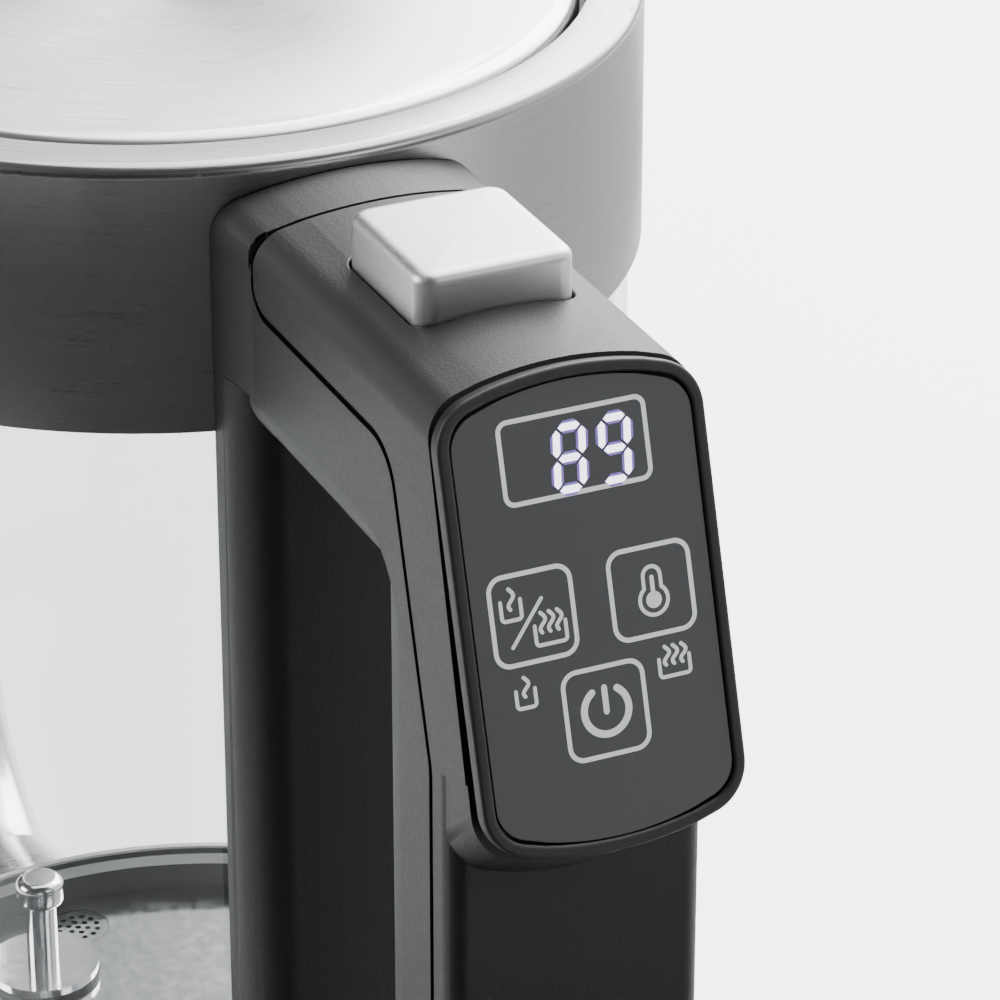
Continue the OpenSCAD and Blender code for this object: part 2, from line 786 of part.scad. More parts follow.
module lid_body() color([0.13, 0.13, 0.14]) {
    difference() {
        union() {
            difference() {
                lid_shape(0);
                lid_shape(lid_wall);
                block([hinge_x - notch_back, jug_r], [-notch_y, notch_y], [lid_body_foot - over, z_top]);
            }
            for (side = [-1, 1])
                y_rod(barrel_r, side > 0 ? barrel_y[0] : -barrel_y[1], side > 0 ? barrel_y[1] : -barrel_y[0],
                      hinge_x, hinge_z);
            for (side = [-1, 1])
                block([hinge_x - hinge_back, strike_x[1]], side > 0 ? barrel_y : [-barrel_y[1], -barrel_y[0]],
                      [hinge_z - barrel_r, hinge_z - 0.2]);
            block([hinge_x - hinge_back, hinge_x - notch_back + 0.5], [-notch_y - over, notch_y + over],
                  [lid_body_foot, hinge_z - 0.2]);
            block(strike_x, [-barrel_y[1], barrel_y[1]], [strike_foot, hinge_z - 0.2]);
            around(lid_screw_angles, lid_body_r - 12) disc(3, lid_body_foot, lid_body_top - lid_wall / 2);
        }
        y_rod(pin_r + 0.1, -jug_r, jug_r, hinge_x, hinge_z);
        around(lid_screw_angles, lid_body_r - 12) {
            disc(screw_r, lid_body_foot - over, lid_body_foot + 8);
            disc(screw_head_r + fit, lid_body_foot - over, lid_body_foot + screw_head_h);
        }
        difference() {
            gasket_groove();
            block([hinge_x, jug_r], [-notch_y, notch_y], [lid_body_foot, z_top]);
        }
        block([strike_x[0] - over, jug_r], [-latch_w / 2 - strike_gap, latch_w / 2 + strike_gap],
              [latch_z - strike_gap, latch_z + latch_h + strike_gap]);
    }
}
// The lid body's cup, smaller by a wall all round but for its open foot
module lid_shape(inset) {
    straight = lid_body_r - lid_edge_r;
    rotate_extrude() polygon(outline([
        [0, lid_body_foot + inset, 0],
        [lid_body_r - inset, lid_body_foot + inset, 0],
        [lid_body_r - inset, lid_body_top - lid_edge_r, 0],
        [straight - inset, lid_body_top - inset, 0],
        [0, lid_body_top - inset, 0]]));
}
module gasket_groove() {
    ring(lid_body_r - 1, jug_r, gasket_z, gasket_z + gasket_h);
}
module lid_gasket() color([0.80, 0.80, 0.79]) {
    difference() {
        ring(lid_body_r - 1 + 0.05, gasket_r, gasket_z + 0.05, gasket_z + gasket_h - 0.05);
        block([hinge_x - notch_back, jug_r], [-notch_y, notch_y],
              [gasket_z - over, gasket_z + gasket_h + over]);
    }
}
module lid_screws() color([0.70, 0.70, 0.72]) {
    around(lid_screw_angles, lid_body_r - 12) {
        disc(screw_head_r, lid_body_foot + 0.05, lid_body_foot + screw_head_h);
        disc(screw_r - 0.02, lid_body_foot + 0.1, lid_body_foot + 7);
    }
}

// Gooseneck spout: bends and a tapering straight laid end to end in the plane of symmetry
function spout_dir(a) = [-cos(a), 0, sin(a)];
function spout_normal(a) = [sin(a), 0, cos(a)];
bends_rise = foot_bend * (1 - cos(neck_angle)) + tip_bend * (cos(tip_angle) - cos(neck_angle));
neck_len = (z_top - tip_drop - spout_z - bends_rise) / sin(neck_angle);
foot_start = [-bell_x - bell_len, 0, spout_z];
foot_centre = foot_start + foot_bend * spout_normal(0);
neck_start = foot_centre - foot_bend * spout_normal(neck_angle);
neck_end = neck_start + neck_len * spout_dir(neck_angle);
tip_centre = neck_end - tip_bend * spout_normal(neck_angle);
tip_start = tip_centre + tip_bend * spout_normal(tip_angle);
tip_end = tip_start + tip_len * spout_dir(tip_angle);

// Stations along the gooseneck: [point, direction angle, outer radius]
spout_stations = concat(
    [[foot_start - (bell_len - socket_at) * spout_dir(0), 0, neck_r]],
    [for (i = [0:bend_steps])
        let (a = neck_angle * i / bend_steps)
        [foot_centre - foot_bend * spout_normal(a), a, neck_r]],
    [for (i = [1:neck_steps - 1])
        [neck_start + neck_len * i / neck_steps * spout_dir(neck_angle), neck_angle,
         neck_r + (tip_r - neck_r) * i / neck_steps]],
    [for (i = [0:bend_steps])
        let (a = neck_angle + (tip_angle - neck_angle) * i / bend_steps)
        [tip_centre + tip_bend * spout_normal(a), a, tip_r]],
    [[tip_end, tip_angle, tip_r]]);
// Stations where the straight neck and the tip begin
neck_from = bend_steps + 1;
tip_from = neck_from + neck_steps;
// Ring of points round a station
function spout_ring(s, inset) = [
    for (k = [0:spout_sides - 1])
        let (turn = 360 * k / spout_sides)
        s[0] + (s[2] - inset) * (cos(turn) * [0, 1, 0] + sin(turn) * spout_normal(s[1]))];
// Stretch of the gooseneck between two of its stations
module spout_stretch(from, to) {
    n = spout_sides;
    last = to - from;
    inner = (last + 1) * n;
    points = concat(
        [for (i = [from:to]) each spout_ring(spout_stations[i], 0)],
        [for (i = [from:to]) each spout_ring(spout_stations[i], spout_wall)]);
    walls = [
        for (i = [0:last - 1], k = [0:n - 1])
            let (a = i * n + k, b = i * n + (k + 1) % n)
            each [[a, b, b + n], [a, b + n, a + n],
                  [inner + a, inner + b + n, inner + b], [inner + a, inner + a + n, inner + b + n]]];
    ends = [
        for (k = [0:n - 1])
            let (m = (k + 1) % n, e = last * n)
            each [[k, inner + m, m], [k, inner + k, inner + m],
                  [e + k, e + m, inner + e + m], [e + k, inner + e + m, inner + e + k]]];
    polyhedron(points, concat(walls, ends), convexity = 10);
}
module spout_bend() color([0.76, 0.76, 0.77]) {
    spout_stretch(0, neck_from);
}
module spout_neck() color([0.76, 0.76, 0.77]) {
    spout_stretch(neck_from, tip_from);
}
module spout_tip() color([0.76, 0.76, 0.77]) {
    spout_stretch(tip_from, len(spout_stations) - 1);
}
module spout_flange() color([0.76, 0.76, 0.77]) {
    socket_end = bell_x + socket_at - 0.1;
    translate([0, 0, spout_z]) rotate([0, -90, 0])
        rotate_extrude() polygon([
            [elbow_r + 0.1, stub_in], [stub_r, stub_in], [stub_r, flange_x], [flange_r, flange_x],
            [flange_r, bell_x], [bell_r, bell_x], [neck_r + 1, bell_x + bell_len],
            [neck_r + 0.1, bell_x + bell_len], [neck_r + 0.1, socket_end], [elbow_r + 0.1, socket_end]]);
}
module spout_outer_gasket() color([0.14, 0.14, 0.14]) {
    difference() {
        x_rod(gasket_out_r, -flange_x, 4 - jug_r, 0, spout_z);
        x_rod(stub_r + run, -flange_x - over, 5 - jug_r, 0, spout_z);
        translate([0, 0, z_jug]) cylinder(r = jug_r + 0.05, h = skirt_h + 5, $fn = 400);
    }
}
module spout_nut() color([0.72, 0.72, 0.74]) {
    difference() {
        translate([-nut_x, 0, spout_z]) rotate([0, 90, 0]) rotate(30) cylinder(r = nut_r, h = nut_t, $fn = 6);
        x_rod(stub_r + 0.05, -nut_x - over, nut_t + over - nut_x, 0, spout_z);
    }
}
// Pipe from the inlet in the heating plate down and out to the spout's flange
module spout_elbow() color([0.74, 0.74, 0.75]) {
    difference() {
        union() {
            elbow_pipe(elbow_r, 0);
            translate([-inlet_x, 0, 0]) disc(lip_r, plate_under - 2, plate_under - 1);
        }
        elbow_pipe(elbow_r - elbow_wall, over);
    }
}
module elbow_pipe(r, past) {
    translate([-inlet_x, 0, 0]) disc(r, spout_z, plate_z - 0.05 + past);
    translate([-inlet_x, 0, spout_z]) sphere(r);
    x_rod(r, -jug_r - past, -inlet_x, 0, spout_z);
}
module spout_inner_gasket() color([0.14, 0.14, 0.14]) {
    translate([-inlet_x, 0, 0]) ring(elbow_r + 0.05, lip_r, plate_under - 1, plate_under);
}
module spout_strainer() color([0.70, 0.70, 0.72]) {
    rings = [0, 1, 2];
    translate([-inlet_x, 0, 0]) difference() {
        disc(elbow_r - elbow_wall - 0.05, plate_z - 0.1 - strainer_t, plate_z - 0.1);
        for (k = rings, i = [0:max(0, 6 * k - 1)])
            rotate(60 * i / max(k, 1)) translate([k * strainer_pitch, 0, 0])
                disc(strainer_hole_r, plate_z - 2 - strainer_t, plate_z + over);
    }
}

// Rounded corners and crowned top of a section of the arm, from its right side to its left
function crowned(half) =
    let (drop = crown * half * half / half_w / half_w)
    concat([[half, arm_top - drop, arm_round]],
           [for (k = [6:-1:-6]) [half * k / 10, arm_top - drop * k * k / 100, 0]],
           [[-half, arm_top - drop, arm_round]]);

// Handle: one closed loop, cut into two shells along the seam
module handle_loop() {
    outer = [
        [leg_back, arm_top, 0], [head_x, arm_top, 3], [head_foot[0], head_foot[1], 4], [grip_out, ledge_z, 6],
        [grip_out, handle_foot, 24], [leg_back, handle_foot, 0]];
    hand = [[leg_x, arm_under, 8], [grip_in, arm_under, 10], [grip_in, gap_foot, 12], [leg_x, gap_foot, 8]];
    arm_low = arm_under - 4;
    side_low = arm_low + arm_edge;
    side_in = grip_in + grip_round_in;
    low_top = gap_foot + 4;
    difference() {
        intersection() {
            difference() {
                side_slab(outer, far);
                side_slab(hand, far + over);
            }
            union() {
                section_slab(
                    concat([[-half_w, arm_low, arm_edge], [half_w, arm_low, arm_edge]], crowned(half_w)),
                    shoe_side_x - 2, head_foot[0] + over);
                side_slab([
                    [side_in - hand_corner - over, side_low, 0], [side_in, side_low, hand_corner],
                    [side_in, side_low - hand_corner - over, 0],
                    [side_in + over, side_low - hand_corner - over, 0], [side_in + over, side_low + over, 0],
                    [side_in - hand_corner - over, side_low + over, 0]],
                    half_w);
                block([seam_x, head_foot[0] + over], [-half_w, half_w], [ledge_z - 2, plan_top]);
                grip_slab(plan_top);
                plan_slab([[leg_back, -half_leg, 0], [leg_x, -half_leg, leg_round],
                           [leg_x, half_leg, leg_round], [leg_back, half_leg, 0]], handle_foot - over, plan_top);
                intersection() {
                    section_slab(concat([[-half_leg, side_low, 0], [half_leg, side_low, 0]], crowned(half_leg)),
                                 leg_back, shoe_r);
                    disc(shoe_r, side_low, arm_top);
                }
                section_slab([[-half_w, low_top, 8], [half_w, low_top, 8], [half_w, handle_foot, arm_round],
                              [-half_w, handle_foot, arm_round]], leg_back, grip_in + grip_round_in);
            }
        }
        disc(jug_r + rest_gap, 0, z_top + far);
    }
}
module grip_slab(top) {
    plan_slab([[grip_in, -half_w, grip_round_in], [grip_out, -half_w, grip_round_out],
               [grip_out, half_w, grip_round_out], [grip_in, half_w, grip_round_in]], handle_foot - over, top);
}
// The side of the seam that belongs to the outer shell, shrunk by a margin
module outer_side(margin) {
    z = seam_z + margin;
    x = seam_x + margin;
    depth = seam_depth - margin;
    difference() {
        side_slab([
            [shoe_side_x, z, 5], [plane_x(z) - depth, z, 8], [x, plane_z(x + depth), 10],
            [x, handle_foot - over, 0], [head_foot[0] + far, handle_foot - over, 0],
            [head_foot[0] + far, arm_top + far, 0], [shoe_side_x, arm_top + far, 0]], far);
        disc(shoe_r + margin, 0, z_top + 2 * far);
    }
}
module handle_hollow() {
    block([arm_cavity_x, head_x - 12], [-cavity_top_half, cavity_top_half], [cavity_floor + over, cavity_top]);
    difference() {
        side_slab([
            [arm_cavity_x, cavity_shoulder, 0],
            [plane_x(cavity_shoulder) - front_wall, cavity_shoulder, 0],
            [plane_x(head_floor) - front_wall, head_floor, 0],
            [head_cavity_x, head_floor, 0],
            [head_cavity_x, cavity_floor, 0],
            [arm_cavity_x, cavity_floor, 0]], cavity_half);
        below_head(head_rim_inset + shell_wall);
    }
    block([grip_in + 6, grip_out - 4], [-grip_cavity_half, grip_cavity_half],
          [gap_foot + 3, head_floor + over]);
}
// What lies below the head's underside, which carries the panel's outline back and down to the grip
module below_head(inset) {
    end = panel_len / 2;
    on_panel() difference() {
        block([end - head_corner, far], [-far, far], [-head_corner_depth, far]);
        translate([end, 0, 0]) rotate([0, -head_droop, 0]) translate([-end, 0, 0])
            panel_slab(inset, -far, 2 * far);
    }
}
module panel_slab(inset, z0, z1) {
    x = panel_len / 2 - inset;
    y = panel_w / 2 - inset;
    corner = max(panel_corner_r - inset, 1);
    foot = [for (k = [-6:6]) [x - panel_arch * k * k / 100, y * k / 10, 0]];
    head = [for (k = [6:-1:-6]) [panel_arch * k * k / 100 - x, y * k / 10, 0]];
    left = x - panel_arch;
    translate([0, 0, z0]) linear_extrude(z1 - z0) polygon(outline(concat(
        [[left, -y, corner]], foot, [[left, y, corner], [-left, y, corner]], head, [[-left, -y, corner]])));
}
module handle_inner_shell() color([0.13, 0.13, 0.14]) {
    difference() {
        union() {
            difference() {
                handle_loop();
                outer_side(0);
                handle_hollow();
            }
            translate([guide_x, 0, 0])
                ring(guide_r + rest_gap, guide_r + guide_wall, cavity_floor - over, guide_top);
            for (side = [-1, 1])
                block([rib_x, rib_x + rib_w], [side * latch_spring_y - 3, side * latch_spring_y + 3],
                      [cavity_floor - over, latch_z + latch_h]);
        }
        latch_slot(jug_r - 4, arm_cavity_x + over);
        block([channel_x, channel_x + channel_w], [-channel_half, channel_half], [channel_foot, channel_top]);
        block([channel_x, arm_cavity_x + over], [-channel_half, channel_half],
              [cavity_floor + over, channel_top]);
        block([jug_r, wire_x], [-channel_half, channel_half], [wire_entry_z - 3, wire_entry_z + 9]);
        for (z = handle_screw_z) handle_bolt_holes(z);
    }
}
module handle_outer_shell() color([0.13, 0.13, 0.14]) {
    difference() {
        intersection() {
            handle_loop();
            outer_side(seam_gap);
        }
        handle_hollow();
        button_slab(run, cavity_top - over, arm_top + over);
        head_front();
        on_panel() panel_slab(neck_inset - fit, bezel_back - 0.1, far);
        difference() {
            below_head(head_rim_inset);
            grip_slab(plan_top);
        }
        on_panel() panel_slab(bezel_w + ledge_w, bezel_back - shell_wall - 4, far);
    }
}
// Everything in front of the shell's rim, which leans back from the bezel towards its foot
module head_front() {
    end = panel_len / 2;
    lean = (rim_back[1] - rim_back[0]) / panel_len;
    on_panel() rotate([90, 0, 0]) translate([0, 0, -far]) linear_extrude(2 * far) polygon([
        [-end - far, rim_back[0] - lean * far], [end + far, rim_back[1] + lean * far],
        [end + far, far], [-end - far, far]]);
}
module handle_screws() color([0.70, 0.70, 0.72]) {
    for (side = [-1, 1], k = [0, 1]) {
        head = handle_screw_x[1 - k];
        y = side * handle_screw_y;
        x_rod(screw_head_r + 0.8, head, head + 1.8, y, handle_screw_z[k]);
        x_rod(handle_screw_r, head, jug_r + leg_t - 2.5, y, handle_screw_z[k]);
    }
}

// Touch panel in the head of the handle
module panel_bezel() color([0.10, 0.10, 0.11]) {
    on_panel() difference() {
        union() {
            difference() {
                union() {
                    panel_slab(0, bezel_under, bezel_rise);
                    panel_slab(neck_inset, bezel_back, bezel_under + 0.1);
                }
                panel_slab(bezel_w, fascia_back - 0.1, bezel_rise + over);
                panel_slab(bezel_w + ledge_w + 0.2, bezel_back - over, bezel_rise + over);
            }
            pillars() disc(pillar_r, board_front, fascia_back - 0.1);
            pillars() bridge();
        }
        pillars() disc(screw_r * 0.6, board_front - over, board_front + 4);
    }
}
module pillars() {
    for (x = pillar_x, side = [0, 1])
        mirror([0, side, 0]) translate([x, pillar_y, 0]) children();
}
module bridge() {
    reach = panel_w / 2 - pillar_y - neck_inset - 0.3;
    block([-pillar_r, pillar_r], [0, reach], [bezel_back, fascia_back - 0.1]);
}
module panel_fascia() color([0.26, 0.27, 0.29]) {
    on_panel() panel_slab(bezel_w + groove_w, fascia_back, fascia_top);
}
module display_module() color([0.06, 0.06, 0.07]) {
    on_panel() block([display_at - display_size[0] / 2, display_at + display_size[0] / 2],
                     [-display_size[1] / 2, display_size[1] / 2], [board_front, fascia_back - 0.1]);
}
module touch_pads() color([0.25, 0.25, 0.26]) {
    on_panel() {
        for (y = [-upper_keys_y, upper_keys_y])
            translate([upper_keys_at, y, 0]) disc(pad_d / 2, board_front, fascia_back - 0.1);
        translate([power_key_at, 0, 0]) disc(pad_d / 2, board_front, fascia_back - 0.1);
    }
}
module indicator_lights() color([0.90, 0.90, 0.88]) {
    on_panel() for (y = [-lights_y, lights_y])
        translate([lights_at - light_size[0] / 2, y - light_size[1] / 2, board_front]) cube(light_size);
}
module control_board() color([0.10, 0.35, 0.20]) {
    on_panel() difference() {
        block([-board_size[0] / 2, board_size[0] / 2], [-board_size[1] / 2, board_size[1] / 2],
              [board_back, board_front]);
        pillars() disc(screw_r * 0.6 + fit, board_back - over, board_front + over);
    }
}
module board_screws() color([0.70, 0.70, 0.72]) {
    on_panel() pillars() {
        disc(screw_r, board_back - 1, board_back);
        disc(screw_r * 0.6 - 0.02, board_back - 0.5, board_front + 3.5);
    }
}
module buzzer() color([0.08, 0.08, 0.09]) {
    on_panel() translate([-6, 0, 0]) disc(buzzer_r, board_back - buzzer_h, board_back);
}
module wire_harness() color([0.70, 0.12, 0.10]) {
    tube(smooth_route(wire_route), wire_r, 8);
}

// Lid release
module button_slab(grow, z0, z1) {
    x0 = button_x - grow;
    x1 = button_end + grow;
    y = button_half + grow;
    r = button_round + grow;
    plan_slab([[x0, -y, r], [x1, -y, r], [x1, y, r], [x0, y, r]], z0, z1);
}
module button_form(inset) {
    top = button_top - inset;
    low = button_foot - 2;
    x0 = button_x + inset;
    x1 = button_end - inset;
    y = button_half - inset;
    r = max(button_edge - inset, 0.6);
    intersection() {
        button_slab(-inset, button_foot - inset, top);
        side_slab([[x0, low, 0], [x1, low, 0], [x1, top, r], [x0, top, r]], far);
        section_slab([[-y, low, 0], [y, low, 0], [y, top, r], [-y, top, r]], x0 - over, x1 + over);
    }
}
module button_cap() color([0.78, 0.78, 0.79]) {
    difference() {
        button_form(0);
        button_form(button_wall);
    }
}
module button_core() color([0.18, 0.18, 0.19]) {
    intersection() {
        button_form(button_wall + fit);
        disc(jug_d, button_foot, button_top);
    }
    translate([guide_x, 0, 0]) disc(guide_r, guide_bottom, button_foot + over);
    side_slab([
        [wedge_x, button_foot + over, 0], [wedge_top_x, button_foot + over, 0],
        [wedge_top_x, wedge_shoulder, 0],
        [wedge_top_x - (wedge_shoulder - wedge_foot), wedge_foot, 0], [wedge_x, wedge_foot, 0]], wedge_half);
}
module button_spring() color([0.62, 0.62, 0.64]) {
    translate([guide_x, 0, guide_top]) spring(button_spring_r, button_wire_r, button_foot - guide_top, 7);
}
module latch_bolt() color([0.20, 0.20, 0.21]) {
    half = latch_w / 2;
    difference() {
        union() {
            block([latch_nose, latch_end], [-half, half], [latch_z, latch_z + latch_h]);
            block([cross_x, cross_x + cross_w], [-cross_half, cross_half], [latch_z, latch_z + latch_h]);
        }
        side_slab([
            [window_x, latch_z - over, 0], [ramp_x - over, latch_z - over, 0],
            [ramp_x + latch_h + over, latch_z + latch_h + over, 0], [window_x, latch_z + latch_h + over, 0]],
            wedge_half + run);
    }
}
module latch_springs() color([0.62, 0.62, 0.64]) {
    start = cross_x + cross_w;
    for (y = [-latch_spring_y, latch_spring_y])
        translate([start, y, latch_z + latch_h / 2]) rotate([0, 90, 0])
            spring(latch_spring_r, latch_wire_r, rib_x - start, 6);
}

base_shell();
base_trim_ring();
base_floor();
base_connector();
base_contacts();
base_feet();
base_screws();
cord_gland();
jug_connector();
jug_contacts();
bottom_cover();
bottom_screws();
skirt();
seal_carrier();
lower_glass_seal();
heating_plate();
heat_diffuser();
heating_element();
thermal_cutout();
power_board();
power_relay();
temperature_probe();
probe_washer();
probe_nut();
glass_body();
upper_glass_seal();
collar();
collar_liner();
lid_hinge_pin();
lid_spring();
lid_cover();
lid_body();
lid_gasket();
lid_screws();
spout_flange();
spout_bend();
spout_neck();
spout_tip();
spout_outer_gasket();
spout_inner_gasket();
spout_nut();
spout_elbow();
spout_strainer();
handle_inner_shell();
handle_outer_shell();
handle_screws();
panel_bezel();
panel_fascia();
display_module();
touch_pads();
indicator_lights();
control_board();
board_screws();
buzzer();
wire_harness();
button_cap();
button_core();
button_spring();
latch_bolt();
latch_springs();
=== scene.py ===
"""Glass gooseneck kettle with a touch panel in its handle, on a pale studio floor. Row frame, metres."""

import json
import math

import bmesh
import bpy
from mathutils import Matrix, Vector
from mathutils.bvhtree import BVHTree

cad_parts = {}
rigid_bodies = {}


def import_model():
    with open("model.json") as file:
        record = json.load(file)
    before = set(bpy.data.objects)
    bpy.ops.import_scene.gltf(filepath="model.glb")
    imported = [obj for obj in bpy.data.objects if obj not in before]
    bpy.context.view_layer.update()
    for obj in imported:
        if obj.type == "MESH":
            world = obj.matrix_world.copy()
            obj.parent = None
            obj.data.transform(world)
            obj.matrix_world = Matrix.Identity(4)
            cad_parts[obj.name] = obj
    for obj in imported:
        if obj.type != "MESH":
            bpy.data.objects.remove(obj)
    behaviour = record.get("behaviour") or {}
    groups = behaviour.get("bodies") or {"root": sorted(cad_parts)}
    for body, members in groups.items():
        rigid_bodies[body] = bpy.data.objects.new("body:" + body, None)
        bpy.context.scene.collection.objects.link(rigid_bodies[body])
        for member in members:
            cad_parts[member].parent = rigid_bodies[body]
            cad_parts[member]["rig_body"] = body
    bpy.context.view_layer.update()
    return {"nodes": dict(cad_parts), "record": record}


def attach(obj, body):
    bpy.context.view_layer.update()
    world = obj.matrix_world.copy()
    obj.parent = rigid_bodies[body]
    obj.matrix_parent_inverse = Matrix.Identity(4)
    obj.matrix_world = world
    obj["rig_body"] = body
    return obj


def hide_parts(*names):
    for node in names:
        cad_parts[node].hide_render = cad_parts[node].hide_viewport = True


# Lengths in metres: a millimetre, and the distance within which vertices are one
MM = 0.001
WELD = 2e-6

# Angles between faces: still flat, sharp enough to round, and a crease in the shading
FLAT_ANGLE = math.radians(0.1)
SHARP_ANGLE = math.radians(28.0)
SOFT_CREASE = math.radians(32.0)
CREASE = math.radians(35.0)

# Angles of the steps of a rounded edge
QUARTER = [math.radians(a) for a in range(0, 91, 15)]

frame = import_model()
NODES = frame["nodes"]

# Panel of the handle: its slant, its directions, and how far down the display's middle lies, in millimetres
TILT = math.radians(17.0)
PANEL_DOWN = Vector((math.sin(TILT), 0.0, -math.cos(TILT)))
PANEL_OUT = Vector((math.cos(TILT), 0.0, math.sin(TILT)))
PANEL_ACROSS = Vector((0.0, 1.0, 0.0))
DISPLAY_AT = -20.8


def extent(name, axis):
    """Least and greatest place of a node's vertices along an axis."""
    reach = [v.co.dot(axis) for v in NODES[name].data.vertices]
    return min(reach), max(reach)


def panel_frame():
    """Matrix from panel millimetres (down, across, out) to the row frame; out is 0 on the fascia's face."""
    low, high = extent("panel_fascia", PANEL_DOWN)
    out = extent("panel_fascia", PANEL_OUT)[1]
    m = Matrix.Identity(4)
    for i, axis in enumerate((PANEL_DOWN, PANEL_ACROSS, PANEL_OUT)):
        for k in range(3):
            m[k][i] = axis[k] * MM
    m.translation = PANEL_OUT * out + PANEL_DOWN * (high + low) / 2
    return m


PANEL = panel_frame()


def add(name, data):
    """A new object in the scene."""
    obj = bpy.data.objects.new(name, data)
    bpy.context.scene.collection.objects.link(obj)
    return obj


def fill(node, values):
    """Sets a shader node's inputs by name."""
    for key, value in values.items():
        node.inputs[key].default_value = value


# Materials
NOISE_LOW, NOISE_HIGH = 0.3, 0.7


class Shader:
    """A Principled material with short calls for its nodes."""

    def __init__(self, name, color, rough, metal=0.0):
        self.mat = bpy.data.materials.new(name)
        self.mat.use_nodes = True
        self.tree = self.mat.node_tree
        self.bsdf = self.tree.nodes["Principled BSDF"]
        fill(self.bsdf, {"Base Color": (*color, 1.0), "Roughness": rough, "Metallic": metal})
        self.mat.diffuse_color = (*color, 1.0)

    def node(self, kind, **values):
        n = self.tree.nodes.new(kind)
        for key, value in values.items():
            setattr(n, key, value)
        return n

    def link(self, a, b):
        self.tree.links.new(a, b)

    def feed(self, node, values):
        """Puts numbers and links on a node's first inputs, and gives its first output."""
        for i, value in enumerate(values):
            if isinstance(value, (int, float)):
                node.inputs[i].default_value = value
            else:
                self.link(value, node.inputs[i])
        return node.outputs[0]

    def math(self, op, *values):
        return self.feed(self.node("ShaderNodeMath", operation=op), values)

    def join(self, *values):
        return self.feed(self.node("ShaderNodeCombineXYZ"), values)

    def position(self):
        return self.node("ShaderNodeTexCoord").outputs["Object"]

    def split(self, vector):
        n = self.node("ShaderNodeSeparateXYZ")
        self.link(vector, n.inputs[0])
        return n.outputs

    def noise(self, vector, scale, detail=2.0, rough=0.5):
        n = self.node("ShaderNodeTexNoise")
        fill(n, {"Scale": scale, "Detail": detail, "Roughness": rough})
        self.link(vector, n.inputs["Vector"])
        return n.outputs["Fac"]

    def spread(self, value, low, high):
        """Noise spread over a range."""
        n = self.node("ShaderNodeMapRange")
        fill(n, {"From Min": NOISE_LOW, "From Max": NOISE_HIGH, "To Min": low, "To Max": high})
        self.link(value, n.inputs["Value"])
        return n.outputs["Result"]

    def tint(self, value, dark, light):
        n = self.node("ShaderNodeMix", data_type="RGBA")
        fill(n, {"A": (*dark, 1.0), "B": (*light, 1.0)})
        self.link(value, n.inputs["Factor"])
        self.link(n.outputs["Result"], self.bsdf.inputs["Base Color"])

    def bump(self, value, strength, depth):
        n = self.node("ShaderNodeBump")
        fill(n, {"Strength": strength, "Distance": depth})
        self.link(value, n.inputs["Height"])
        self.link(n.outputs["Normal"], self.bsdf.inputs["Normal"])

    def roughen(self, value, low, high):
        self.link(self.spread(value, low, high), self.bsdf.inputs["Roughness"])


# Brush strokes: their scale across and along, their detail, and what they do to roughness, tone and relief
ROUND_BRUSH = {"across": 5200.0, "along": 3.0, "detail": 3.0,
               "rough": (-0.04, 0.06), "tone": (0.95, 1.04), "bump": (0.03, 0.00002)}
STRAIGHT_BRUSH = {"across": 4200.0, "along": 40.0, "detail": 4.0,
                  "rough": (-0.06, 0.08), "tone": (0.90, 1.06), "bump": (0.05, 0.00003)}
BRUSH_ROUGH = 0.6
STEEL_BLUE = 1.01


def steel(name, tone, rough):
    return Shader(name, (tone, tone, tone * STEEL_BLUE), rough, metal=1.0)


def brush(s, place, tone, rough, kind):
    """Carries brush strokes into a steel's roughness, tone and relief."""
    lines = s.noise(place, 1.0, kind["detail"], BRUSH_ROUGH)
    s.roughen(lines, *(rough + more for more in kind["rough"]))
    s.tint(s.spread(lines, 0.0, 1.0), *((tone * part,) * 3 for part in kind["tone"]))
    s.bump(lines, *kind["bump"])


def brushed_round(name, tone, rough, stretch):
    """Steel brushed round the jug's axis."""
    s = steel(name, tone, rough)
    x, y, z = s.split(s.position())
    turn = s.math("ARCTAN2", y, x)
    radius = s.math("SQRT", s.math("ADD", s.math("MULTIPLY", x, x), s.math("MULTIPLY", y, y)))
    place = s.join(s.math("MULTIPLY", turn, ROUND_BRUSH["along"]),
                   s.math("MULTIPLY", radius, ROUND_BRUSH["across"]),
                   s.math("MULTIPLY", z, ROUND_BRUSH["across"]))
    brush(s, place, tone, rough, ROUND_BRUSH)
    round_axis = s.node("ShaderNodeTangent", direction_type="RADIAL", axis="Z")
    s.link(round_axis.outputs[0], s.bsdf.inputs["Tangent"])
    s.bsdf.inputs["Anisotropic"].default_value = stretch
    return s.mat


def brushed_straight(name, tone, rough, axis):
    """Steel brushed in straight lines along one axis."""
    s = steel(name, tone, rough)
    scales = [STRAIGHT_BRUSH["along" if i == axis else "across"] for i in range(3)]
    parts = [s.math("MULTIPLY", p, scale) for p, scale in zip(s.split(s.position()), scales)]
    brush(s, s.join(*parts), tone, rough, STRAIGHT_BRUSH)
    return s.mat


METAL_GRAIN = 600.0
METAL_LEAST_ROUGH = 0.02
PLASTIC_DEPTH = 0.00012


def plain_metal(name, color, rough):
    s = Shader(name, color, rough, metal=1.0)
    grain = s.noise(s.position(), METAL_GRAIN, 3.0)
    s.roughen(grain, max(METAL_LEAST_ROUGH, rough - 0.05), rough + 0.06)
    return s.mat


def grained_plastic(name, color, rough, grain, strength):
    """Moulded plastic with a fine spark-eroded grain."""
    s = Shader(name, color, rough)
    fine = s.noise(s.position(), grain, 2.0, 0.6)
    s.bump(fine, strength, PLASTIC_DEPTH)
    s.roughen(fine, rough - 0.04, rough + 0.04)
    return s.mat


GLASS_TINT = (0.955, 0.967, 0.968)
GLASS_SHADOW = (0.94, 0.96, 0.96, 1.0)
GLASS_IOR = 1.47
GLASS_WAVES = 30.0


